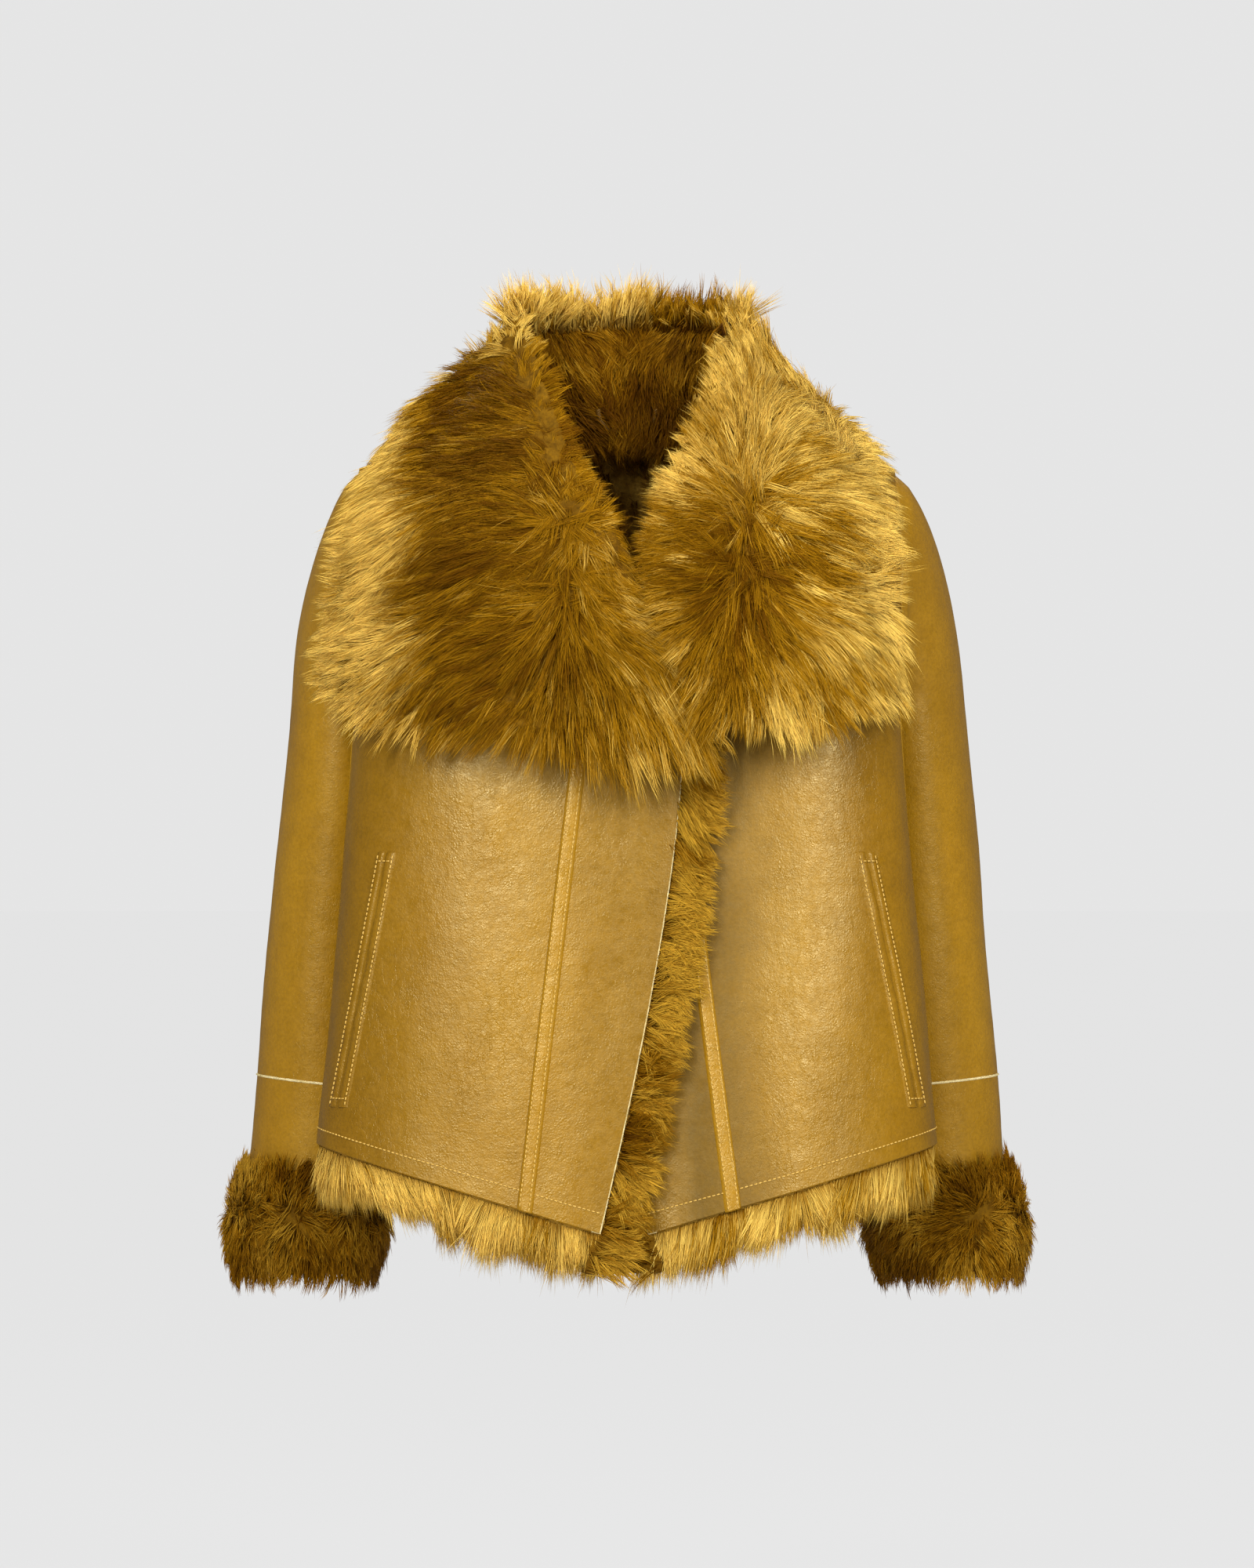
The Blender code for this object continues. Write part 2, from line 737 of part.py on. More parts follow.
def upper_sleeve_rings(grow):
    elbow = PIVOTS["lower_sleeve_left"]
    rings = []
    for along in shares(5)[:-1]:
        ring = []
        for angle in ring_angles():
            start = armhole_point(angle, grow)
            end = sleeve_ring_point(SLEEVE_TOP_Z, angle, grow)
            swell = (0.5 + 0.5 * math.cos(angle)) ** 1.5
            control = (start + end) / 2 + Vector((0.015, -0.005, 0.039)) * swell
            ring.append(bezier([start, control, end], along))
        rings.append(ring)
    for along in (0, 0.5, 1):
        ring = []
        for angle in ring_angles():
            end = knuckle_point(angle, grow, elbow, KNUCKLE)
            ring.append(sleeve_ring_point(blend(SLEEVE_TOP_Z, end.z, along), angle, grow))
        rings.append(ring)
    return rings


def lower_sleeve_rings(grow):
    elbow = PIVOTS["lower_sleeve_left"]
    rings = []
    for along in shares(5):
        ring = []
        for angle in ring_angles():
            top = knuckle_point(angle, grow, elbow, KNUCKLE + 2 * GAP)
            ring.append(sleeve_ring_point(blend(top.z, CUFF_SEAM_Z, along**0.8), angle, grow))
        rings.append(ring)
    return rings


def straight_rings(heights, grow):
    return [[sleeve_ring_point(z, angle, grow) for angle in ring_angles()] for z in heights]


def make_sleeve(side, name):
    def placed(rings):
        return rings if side > 0 else mirrored(rings)

    def sleeve_tube(part, body, outer, inner, **look):
        tube(part + "_" + name, body + "_" + name, placed(outer), placed(inner), **look)

    sleeve_tube("upper_sleeve", "upper_sleeve", upper_sleeve_rings(0), upper_sleeve_rings(-SKIN))
    sleeve_tube("lower_sleeve", "lower_sleeve", lower_sleeve_rings(0), lower_sleeve_rings(-SKIN))
    cuff = shares(4, CUFF_SEAM_Z - GAP, CUFF_END_Z)
    sleeve_tube("cuff_panel", "lower_sleeve", straight_rings(cuff, 0), straight_rings(cuff, -SKIN))
    welt = (CUFF_SEAM_Z + 0.0012, CUFF_SEAM_Z - 0.0016)
    pale = {"tone": RAW_EDGE_TONE, "roughness": 0.8}
    welt_inner = straight_rings(welt, GAP)
    sleeve_tube("cuff_seam_welt", "lower_sleeve", straight_rings(welt, 0.0016), welt_inner, **pale)
    fur_outer = [straight_rings([z], grow)[0] for z, grow in CUFF_FUR_PROFILE]
    fur_inner = straight_rings([z for z, _ in CUFF_FUR_PROFILE], GAP)
    sleeve_tube("cuff_fur", "lower_sleeve", fur_outer, fur_inner, tone=DARK_FUR_TONE, roughness=0.9)


# ---- Hanger loop ----


def make_hanger_loop():
    """A cord loop sewn inside the back of the neck, hanging down in a U."""
    curve = bpy.data.curves.new("hanger_loop", "CURVE")
    curve.dimensions = "3D"
    curve.bevel_depth = LOOP_RADIUS
    curve.bevel_resolution = 1
    curve.use_fill_caps = True
    count = 15
    line = curve.splines.new("POLY")
    line.points.add(count - 1)
    for point, share in zip(line.points, shares(count)):
        angle = math.pi * share
        point.co = (-LOOP_HALF * math.cos(angle), 0, -LOOP_SAG * math.sin(angle) ** 0.8, 1)
    curve.materials.append(finish("hanger_loop", LEATHER_TONE, 0.6))
    loop = bpy.data.objects.new("hanger_loop", curve)
    loop.parent = bpy.data.objects["pivot_hanger_loop"]
    bpy.context.collection.objects.link(loop)


def main():
    clear_scene()
    make_pivots()
    make_back()
    make_sides()
    make_chest()
    make_torso_hem_fur()
    make_collar_stand()
    make_collar_fall()
    for side, name in ((1, "left"), (-1, "right")):
        make_front(side, name)
        make_lapel(side, name)
        make_sleeve(side, name)
    make_hanger_loop()


main()
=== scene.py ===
"""The looks of a short double-face shearling jacket: leather skins, wool, fur locks and stitches.

Units are metres. +X is the wearer's left, -Y the front, +Z up. The surfaces follow the CAD's own
formulas on a finer grid, so each piece lies where its CAD solid lies.
"""

import math

import bpy
import numpy as np
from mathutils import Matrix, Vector


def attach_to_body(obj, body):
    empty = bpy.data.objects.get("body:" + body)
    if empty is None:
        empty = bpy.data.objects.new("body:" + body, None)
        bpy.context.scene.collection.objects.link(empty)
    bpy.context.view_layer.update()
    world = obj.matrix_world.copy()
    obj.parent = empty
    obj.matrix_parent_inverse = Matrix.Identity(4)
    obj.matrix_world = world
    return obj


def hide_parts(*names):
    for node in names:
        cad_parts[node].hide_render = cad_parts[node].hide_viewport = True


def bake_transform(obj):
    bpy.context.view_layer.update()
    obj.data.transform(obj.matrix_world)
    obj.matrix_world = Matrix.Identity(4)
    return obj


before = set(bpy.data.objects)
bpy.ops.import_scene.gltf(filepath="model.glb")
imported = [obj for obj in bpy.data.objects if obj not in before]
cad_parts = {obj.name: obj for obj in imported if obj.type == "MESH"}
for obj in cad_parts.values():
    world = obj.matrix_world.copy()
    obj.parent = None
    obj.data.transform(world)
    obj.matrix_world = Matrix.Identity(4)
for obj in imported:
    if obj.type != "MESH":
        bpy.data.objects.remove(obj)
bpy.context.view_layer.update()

# Skin: the leather's thickness, and how deep under its face the short wool starts and ends
LEATHER = 0.0022
WOOL_NEAR = 0.0026
WOOL_FAR = 0.0105

# Threads and hairs
STITCH_PITCH = 0.0036
STITCH_LENGTH = 0.0026
STITCH_RADIUS = 0.00058
STRANDS_PER_PIECE = 12000
WAVE_COUNT = 14

# Body, as the CAD has it
ARMPIT_Z = -0.200
FLAP_Z = -0.262
HEM_BACK_Z = -0.565
HEM_CENTRE_Z = -0.621
HEM_RISE = 0.295
CORNER = (0.2036, -0.058)
SIDE_SEAM = (0.160, 0.012)
SQUARENESS = 2.3
SIDE_SHARE = 0.72
CENTRE_STRIP = 0.05
NECK_SIDE = np.array((0.075, 0.020, -0.002))
SHOULDER = np.array((0.2036, 0.015, -0.044))
CHEST_ROWS = 43

# How deep the left front lies behind the right one, and over what width it gets there
LAP_DEPTH = 0.0135
LAP_RAMP = 0.130

# Trims
STRIP_WIDTH = 0.011
POCKET_TOP_Z = -0.334
POCKET_LENGTH = 0.190
WELT_WIDTH = 0.014
ROLL_TOP = np.array((0.0825, 0.0175, 0.068))

# Sleeves
SLEEVE_SPOKES = 96
CUFF_SPOKES = 120
SLEEVE_TOP_Z = -0.215
JOIN_Z = -0.272
CUFF_SEAM_Z = -0.510
CUFF_END_Z = -0.650
SEAM_TILT = 0.0045

# The seeds of the skins' folds, which the trims on them share
BACK_SEED = 20
FLANK_SEED = 23
FRONT_SEEDS = {-1: 40, 1: 50}

# Each lapel's parting, which its hair grows away from: x, lowest z and highest z
PARTING = {-1: (-0.045, -0.150, -0.020), 1: (0.090, -0.125, -0.075)}

# The height of each skin's face at the fur: the leather under it and the dense floor of the wool
FUR_LEATHER = (-0.0006, -0.0028)
FUR_FLOOR = (0.0045, -0.0004)
FUR_ROOTS = 0.0040

DOWN = np.array((0, 0, -1.0))


# ---- Numbers ----


def mix(a, b, share):
    return a + (b - a) * share


def ease(value):
    value = np.clip(value, 0, 1)
    return value * value * (3 - 2 * value)


def vec(x, y, z):
    return np.stack(np.broadcast_arrays(*(np.asarray(c, float) for c in (x, y, z))), axis=-1)


def unit(v):
    return v / np.maximum(np.linalg.norm(v, axis=-1, keepdims=True), 1e-9)


def bezier(points, share):
    share = np.asarray(share, float)[..., None]
    while len(points) > 1:
        points = [mix(a, b, share) for a, b in zip(points, points[1:])]
    return points[0]


def hermite(before, a, b, after, t):
    bend = (b - before) * t + (2 * before - 5 * a + 4 * b - after) * t**2
    return a + (bend + (3 * a - before - 3 * b + after) * t**3) / 2


def through(points, share):
    """A smooth open curve through points, which it passes at even shares."""
    points = np.array(points, float)
    place = np.clip(np.asarray(share, float), 0, 1) * (len(points) - 1)
    start = np.minimum(place.astype(int), len(points) - 2)
    last = len(points) - 1
    before = points[np.maximum(start - 1, 0)]
    after = points[np.minimum(start + 2, last)]
    return hermite(before, points[start], points[start + 1], after, (place - start)[..., None])


def around(points, share):
    """A smooth closed curve through points."""
    points = np.array(points, float)
    place = np.asarray(share, float) % 1 * len(points)
    start = place.astype(int) % len(points)
    near = [points[(start + k) % len(points)] for k in (-1, 0, 1, 2)]
    return hermite(*near, (place - place.astype(int))[..., None])


def waves(points, size, seed, stretch=(1, 1, 1)):
    """Smooth noise of about unit size whose bumps are size metres long."""
    rng = np.random.default_rng(seed)
    points = points * np.array(stretch)
    total = 0
    for _ in range(WAVE_COUNT):
        way = unit(rng.normal(size=3))
        total = total + np.sin(points @ way * (2 * np.pi / size * rng.uniform(0.6, 1.6)) + rng.uniform(0, 7))
    return total / math.sqrt(WAVE_COUNT / 2)


def inward(p):
    """The direction of the skin's thickness, as in the CAD."""
    z = p[..., 2]
    middle_z = np.where(z > -0.25, 0.3 * (z + 0.25) - 0.25, z)
    return unit(vec(0.5 * p[..., 0], 0, middle_z) - p)


def sunk(grid, depth):
    return grid + inward(grid) * depth


def mirrored(grid):
    return grid * np.array((-1, 1, 1))


def placed(grid, side):
    """A grid that is made for the left side, on either side."""
    return grid if side > 0 else mirrored(grid)


def faced(line):
    """A line on the skin with its outward normals."""
    return line, -inward(line)


# ---- The body's surface ----


def flare(z):
    return np.maximum(ARMPIT_Z - z, 0) / 0.36


def corner_x(z):
    return CORNER[0] + 0.030 * flare(z) ** 1.3


def front_point(x, z, lap=0.0):
    across = np.clip(np.abs(x) / corner_x(z), 0, 1)
    bulge = 0.077 + 0.020 * flare(z)
    point = vec(x, CORNER[1] - bulge * (1 - across**SQUARENESS) ** (1 / SQUARENESS), z)
    return point + inward(point) * np.asarray(lap)[..., None]


def front_x(z, turn):
    return np.sign(turn) * corner_x(z) * np.sin(np.abs(turn) * np.pi / 2) ** (2 / SQUARENESS)


def turn_of(x, z):
    across = np.clip(np.abs(x) / corner_x(z), 0, 1) ** (SQUARENESS / 2)
    return np.sign(x) * np.arcsin(across) / (np.pi / 2)


def rear_point(share, z):
    """share 0 is the centre back, SIDE_SHARE the side seam and 1 the front corner."""
    share, z = np.broadcast_arrays(np.asarray(share, float), np.asarray(z, float))
    wide = SIDE_SEAM[0] + 0.010 * flare(z)
    turn = np.clip(share / SIDE_SHARE, 0, 1) * np.pi / 2
    deep = 0.108 + 0.017 * flare(z) - SIDE_SEAM[1]
    power = 2 / SQUARENESS
    back = vec(wide * np.sin(turn) ** power, SIDE_SEAM[1] + deep * np.cos(turn) ** power, z)
    corner = vec(corner_x(z), CORNER[1], z)
    along = np.clip((share - SIDE_SHARE) / (1 - SIDE_SHARE), 0, 1)
    flank = bezier([vec(wide, SIDE_SEAM[1], z), corner + (0, 0.025, 0), corner], along)
    return np.where((share <= SIDE_SHARE)[..., None], back, flank)


def front_hem_z(x):
    return HEM_CENTRE_Z + HEM_RISE * np.abs(x)


def rear_hem_z(share):
    corner_z = front_hem_z(corner_x(HEM_BACK_Z))
    return mix(HEM_BACK_Z, corner_z, np.asarray(share, float) ** 2)


def edge_x(z):
    return 0.040 - 0.061 * (np.maximum(-z - 0.274, 0) / 0.344) ** 1.35


def seam_x(side, z):
    right = -0.037 - 0.0385 * (-z - 0.274) / 0.322
    return right if side < 0 else 0.003 - right


def pocket_x(z):
    return 0.179 + 0.195 * (-z - 0.338)


def fur_edge_x(z):
    return edge_x(z) + mix(0.034, 0.027, np.clip((-z - 0.27) / 0.36, 0, 1))


def lap_at(side, x, z):
    """How deep the left front sinks behind the right one."""
    if side < 0:
        return np.zeros_like(x + z)
    beside = ease((x - fur_edge_x(z) + 0.016) / LAP_RAMP)
    return LAP_DEPTH * (1 - beside) * ease((-z - 0.16) / 0.05)


def inner_edge(side, z):
    """The front edge in side coordinates, where the side corner is positive."""
    right = -edge_x(z)
    if side < 0:
        return right
    return mix(0.040, -edge_x(z) - 0.004, ease((-z - 0.2) / 0.062))


def hem_z_at(column, top):
    """The height where a column whose x follows its height meets the hem."""
    z = np.full_like(top, HEM_CENTRE_Z)
    for _ in range(6):
        z = front_hem_z(column(z))
    return z


def front_surface(side, low, high, rows, columns):
    """The flap's surface between two column functions of height, from the lapel to the hem."""
    share = np.linspace(0, 1, columns)[None, :]

    def column(z):
        return mix(low(z), high(z), share)

    top = np.full((1, columns), FLAP_Z)
    z = mix(top, hem_z_at(column, top), np.linspace(0, 1, rows)[:, None])
    x = column(z)
    return front_point(x, z, lap_at(side, x, z))


def front_grid(side, rows=120, columns=72):
    """One front from the shoulder to the hem; columns run from the side corner to the front edge."""
    share = np.linspace(0, 1, columns)[None, :]

    def column(z):
        edge = inner_edge(side, z)
        return side * front_x(z, mix(0.992, turn_of(edge, z), share))

    top = np.full((1, columns), ARMPIT_Z)
    z = mix(top, hem_z_at(column, top), np.linspace(0, 1, rows)[:, None])
    x = column(z)
    flap = front_point(x, z, lap_at(side, x, z))
    armpit = front_point(column(top), top)
    s = 1 - share
    tops = mix(placed(NECK_SIDE, side), placed(SHOULDER, side), s[..., None])
    centre = 0.012 if side > 0 else -0.0045
    control = vec(mix(centre, side * 0.2067, s), -0.0725 - 0.090 * (1 - s**2.2), mix(-0.089, -0.107, s))
    along = np.linspace(0, 1, CHEST_ROWS + 1)[:-1, None]
    chest = bezier([tops, control, armpit], np.broadcast_to(along, (CHEST_ROWS, columns)))
    return np.concatenate([chest, flap])


def back_surface(low, high, columns):
    s = np.linspace(low, high, columns)[None, :]
    neck = bezier([np.array((0, 0.070, 0)), np.array((0.062, 0.068, 0)), NECK_SIDE], np.clip(s / 0.4, 0, 1))
    top = np.where((s <= 0.4)[..., None], neck, mix(NECK_SIDE, SHOULDER, ((s - 0.4) / 0.6)[..., None]))
    bottom = rear_point(SIDE_SHARE * s, np.full_like(s, ARMPIT_Z))
    middle_x = (top[..., 0] + bottom[..., 0]) / 2 + 0.006 * s
    control = vec(middle_x, 0.105 + 0.07 * s * s, -0.05 - 0.078 * s)
    along = np.linspace(0, 1, 30)[:-1, None]
    upper = bezier([top, control, bottom], np.broadcast_to(along, (29, columns)))
    z = mix(ARMPIT_Z, rear_hem_z(SIDE_SHARE * s), np.linspace(0, 1, 60)[:, None])
    return np.concatenate([upper, rear_point(np.broadcast_to(SIDE_SHARE * s, z.shape), z)])


def side_surface(columns=34, rows=64):
    s = np.linspace(SIDE_SHARE + 0.002, 0.9965, columns)[None, :]
    z = mix(ARMPIT_Z, rear_hem_z(s), np.linspace(0, 1, rows)[:, None])
    return rear_point(np.broadcast_to(s, z.shape), z)


# ---- Collar, lapels and sleeves ----


def roll_point(turn):
    angle = np.asarray(turn, float) * np.pi / 2
    return vec(0.082 * np.sin(angle), 0.020 + 0.068 * np.cos(angle), 0.068 + 0.007 * np.cos(angle))


def stand_surface():
    """The stand, continued a little below its foot and over its top."""
    angle = np.linspace(-1.12, 1.12, 70)[None, :] * np.pi / 2
    foot = vec(0.078 * np.sin(angle), 0.02 + 0.052 * np.cos(angle), 0.0025)
    top = roll_point(angle / (np.pi / 2)) + DOWN * 0.008
    rise = np.linspace(-0.32, 1.12, 20)[:, None, None]
    return mix(foot, top, rise)


def fall_surface(rows=44, columns=111):
    """The back of the collar, from its roll (first row) to its outer edge."""
    edge = [(0, 0.131, -0.190), (0.120, 0.127, -0.170), (0.160, 0.112, -0.120)]
    edge += [(0.174, 0.073, -0.055), (0.180, 0.017, -0.028)]
    turn = np.linspace(-1, 1, columns)[None, :]
    size = np.abs(turn)
    high = roll_point(size)
    low = through(edge, size)
    control = mix(vec(high[..., 0], 0.150, 0.062), vec(0.122, 0.020, 0.032), size[..., None])
    along = np.broadcast_to(np.linspace(0, 1, rows)[:, None], (rows, columns))
    half = bezier([high, control, low], along)
    half[..., 0] *= np.sign(turn)
    return half


def lapel_surface(side, rows=64, columns=48):
    """From the roll line (first column) to the outer edge (last column), and from top to bottom."""
    shoulder = (0.180, 0.0125, -0.028)
    roll = [tuple(ROLL_TOP), (0.063, -0.060, 0.020), (0.036, -0.122, -0.056)]
    if side < 0:
        medial = roll + [(0.0070, -0.153, -0.102), (-0.026, -0.166, -0.175), (-0.057, -0.168, -0.243)]
        lateral = [shoulder, (0.198, -0.062, -0.085), (0.213, -0.074, -0.150), (0.222, -0.080, -0.210)]
        bottom = [medial[-1], (0.040, -0.172, -0.243), (0.145, -0.145, -0.232), lateral[-1]]
    else:
        medial = roll + [(0.0170, -0.151, -0.092), (0.0390, -0.166, -0.160), (0.0610, -0.169, -0.222)]
        lateral = [shoulder, (0.184, -0.066, -0.085), (0.190, -0.085, -0.150), (0.199, -0.092, -0.206)]
        bottom = [medial[-1], (0.110, -0.166, -0.224), (0.165, -0.142, -0.218), lateral[-1]]
    u = np.linspace(0, 1, columns)[None, :, None]
    v = np.linspace(0, 1, rows)[:, None, None]
    top_line = bezier([ROLL_TOP, np.array((0.122, 0.0155, 0.032)), np.array(shoulder)], u[..., 0])
    bottom_line = through(bottom, u[..., 0])
    medial_line = through(medial, v[..., 0])
    lateral_line = through(lateral, v[..., 0])
    ruled = mix(top_line, bottom_line, v) + mix(medial_line, lateral_line, u)
    top_chord = mix(top_line[:, :1], top_line[:, -1:], u)
    bottom_chord = mix(bottom_line[:, :1], bottom_line[:, -1:], u)
    corners = mix(top_chord, bottom_chord, v)
    return placed(ruled - corners, side)


def sleeve_ring(z, angle, grow=0.0):
    below = SLEEVE_TOP_Z - z
    outer = 0.2575 + 0.0905 * below
    inner = 0.1725 + 0.058 * below
    deep = through([(0.070,), (0.062,), (0.056,), (0.052,)], below / 0.40)[..., 0]
    x = (outer + inner) / 2 + ((outer - inner) / 2 + grow) * np.cos(angle)
    return vec(x, 0.05 + 0.05 * below - (deep + grow) * np.sin(angle), z)


def armhole(angle):
    ring = [tuple(SHOULDER), (0.2052, -0.022, -0.080), (0.2060, -0.045, -0.130), (0.2036, -0.050, -0.190)]
    ring += [(0.1665, 0.015, -0.193), (0.1720, 0.052, -0.180), (0.1865, 0.095, -0.125), (0.1960, 0.058, -0.068)]
    return around(ring, angle / (2 * np.pi)) + (0.0020, 0, 0)


def angles(count):
    return np.arange(count)[None, :] * (2 * np.pi / count)


def sleeve_head():
    rows = 33
    angle = angles(SLEEVE_SPOKES)
    start = armhole(angle)
    end = sleeve_ring(np.full_like(angle, SLEEVE_TOP_Z), angle)
    swell = (0.5 + 0.5 * np.cos(angle)) ** 1.5
    control = (start + end) / 2 + np.array((0.015, -0.005, 0.039)) * swell[..., None]
    along = np.broadcast_to(np.linspace(0, 1, rows + 1)[:-1, None], (rows, SLEEVE_SPOKES))
    return np.concatenate([bezier([start, control, end], along), sleeve_tube(SLEEVE_TOP_Z, JOIN_Z, 10)])


def sleeve_tube(high, low, rows, grow=0.0):
    """Rings that tilt a little near the cuff's seam, whose outer end is the higher one."""
    angle = angles(SLEEVE_SPOKES)
    z = np.linspace(high, low, rows)[:, None]
    tilt = SEAM_TILT * np.exp(-(((z - CUFF_SEAM_Z) / 0.05) ** 2))
    return sleeve_ring(z + tilt * np.cos(angle), np.broadcast_to(angle, (rows, SLEEVE_SPOKES)), grow)


def from_sleeve_middle(side, p):
    """The unit direction of each point from the sleeve's own middle line."""
    below = SLEEVE_TOP_Z - p[:, 2]
    return unit(p - placed(vec(0.215 + 0.075 * below, 0.05 + 0.05 * below, p[:, 2]), side))


# ---- Meshes ----


def new_piece(name, points, faces, materials, marks=None, uv=None, sharp=50):
    """A mesh object from points and arrays of faces; its faces point out."""
    mesh = bpy.data.meshes.new(name)
    corners = np.concatenate([f.ravel() for f in faces]).astype(np.int32)
    counts = np.concatenate([np.full(len(f), f.shape[1]) for f in faces])
    starts = np.concatenate([[0], np.cumsum(counts)[:-1]]).astype(np.int32)
    mesh.vertices.add(len(points))
    mesh.vertices.foreach_set("co", np.ascontiguousarray(points, dtype=np.float32).ravel())
    mesh.loops.add(len(corners))
    mesh.loops.foreach_set("vertex_index", corners)
    mesh.polygons.add(len(counts))
    mesh.polygons.foreach_set("loop_start", starts)
    if marks is not None:
        mesh.polygons.foreach_set("material_index", marks.astype(np.int32))
    if uv is not None:
        layer = mesh.uv_layers.new(name="OFBake")
        layer.data.foreach_set("uv", uv[corners].astype(np.float32).ravel())
    mesh.update(calc_edges=True)
    mesh.shade_smooth()
    if sharp:
        mesh.set_sharp_from_angle(angle=math.radians(sharp))
    for material in materials:
        mesh.materials.append(material)
    piece = bpy.data.objects.new(name, mesh)
    bpy.context.collection.objects.link(piece)
    return piece


def volume(points, faces):
    total = 0
    for f in faces:
        for k in range(1, f.shape[1] - 1):
            a, b, c = points[f[:, 0]], points[f[:, k]], points[f[:, k + 1]]
            total += np.einsum("ij,ij->i", a, np.cross(b, c)).sum()
    return total


def rim_lines(rows, columns, wrap):
    """The index pairs (row, column) along each open edge, in the outer faces' own order."""
    if wrap:
        turn = np.arange(columns + 1) % columns
        return [[(0, c) for c in turn], [(rows - 1, c) for c in turn[::-1]]]
    line = [(0, c) for c in range(columns)] + [(r, columns - 1) for r in range(1, rows)]
    line += [(rows - 1, c) for c in range(columns - 2, -1, -1)] + [(r, 0) for r in range(rows - 2, -1, -1)]
    return [line]


def slab(name, outer, inner, materials, wrap=False, bulge=0.4, sharp=50, raw_from=0):
    """A closed skin between two grids; a second material shows on the rim of the last column."""
    rows, columns = outer.shape[:2]
    points = [outer.reshape(-1, 3), inner.reshape(-1, 3)]
    index = np.arange(rows * columns).reshape(rows, columns)
    nxt = np.roll(index, -1, axis=1) if wrap else index[:, 1:]
    cur = index if wrap else index[:, :-1]
    quads = np.stack([cur[:-1], nxt[:-1], nxt[1:], cur[1:]], axis=-1).reshape(-1, 4)
    layer = rows * columns
    faces = [quads, quads[:, ::-1] + layer]
    marks = [np.zeros(2 * len(quads))]
    count = 2 * layer
    for line in rim_lines(rows, columns, wrap):
        r, c = np.array(line[:-1]).T
        near_r = np.clip(r, 1, rows - 2)
        near_c = c if wrap else np.clip(c, 1, columns - 2)
        out = unit(outer[r, c] - outer[near_r, near_c])
        thick = np.linalg.norm(outer[r, c] - inner[r, c], axis=-1, keepdims=True)
        points.append((outer[r, c] + inner[r, c]) / 2 + out * thick * bulge)
        mid = count + np.arange(len(r))
        count += len(r)
        a = index[r, c]
        b = np.roll(a, -1)
        mid_b = np.roll(mid, -1)
        faces.append(np.stack([b, a, mid, mid_b], axis=-1))
        faces.append(np.stack([mid_b, mid, a + layer, b + layer], axis=-1))
        raw = (c == columns - 1) & (r >= raw_from) & (len(materials) > 1)
        marks.append(np.concatenate([raw, raw]))
    points = np.concatenate(points)
    if volume(points, faces) < 0:
        faces = [f[:, ::-1] for f in faces]
    return new_piece(name, points, faces, materials, np.concatenate(marks), sharp=sharp)


def grid_normals(grid, wrap=False):
    if wrap:
        across = np.roll(grid, -1, axis=1) - np.roll(grid, 1, axis=1)
    else:
        across = np.gradient(grid, axis=1)
    normal = unit(np.cross(np.gradient(grid, axis=0), across))
    facing = np.sign(np.einsum("rci,rci->", normal, -inward(grid)))
    return normal * facing


def pushed(grid, height, wrap=False):
    """The grid moved along its normals by a height at each point."""
    return grid + grid_normals(grid, wrap) * np.asarray(height, float)[..., None]


def scatter(grid, count, seed, outward=1.0, wrap=False, weight=None):
    """Evenly spread places on a grid: points, normals, and their row and column shares."""
    rng = np.random.default_rng(seed)
    if wrap:
        grid = np.concatenate([grid, grid[:, :1]], axis=1)
    a, b, c, d = grid[:-1, :-1], grid[:-1, 1:], grid[1:, 1:], grid[1:, :-1]
    cross = np.cross(c - a, d - b)
    size = np.linalg.norm(cross, axis=-1) / 2
    if weight is not None:
        size = size * weight((a + c) / 2)
    total = np.cumsum(size.ravel())
    pick = np.searchsorted(total, (np.arange(count) + rng.random(count)) / count * total[-1])
    pick = np.minimum(pick, len(total) - 1)
    r, q = np.divmod(pick, size.shape[1])
    u, v = rng.random((2, count, 1))
    points = mix(mix(a[r, q], b[r, q], u), mix(d[r, q], c[r, q], u), v)
    normals = unit(cross[r, q])
    normals *= np.sign(np.einsum("ij,ij->", normals, -inward(points))) * outward
    return {
        "points": points,
        "normals": normals,
        "down": (r + v[:, 0]) / size.shape[0],
        "across": (q + u[:, 0]) / size.shape[1],
    }


# ---- Fur ----

# A lock's default style. lift is in degrees, spread, radius and sink in metres, the rest are shares.
FUR_STYLE = {"spread": 0.0034, "clump": 0.80, "radius": 0.00034, "droop": 0.10, "sway": 0.07}
FUR_STYLE |= {"wild": 0.16, "sink": 0.0015, "curl": 0.45}

# Where a hair's rings stand along it, and their widths
RING_SHARES = np.array((0.0, 0.40, 0.78))
RING_WIDTHS = np.array((1.0, 0.88, 0.50))


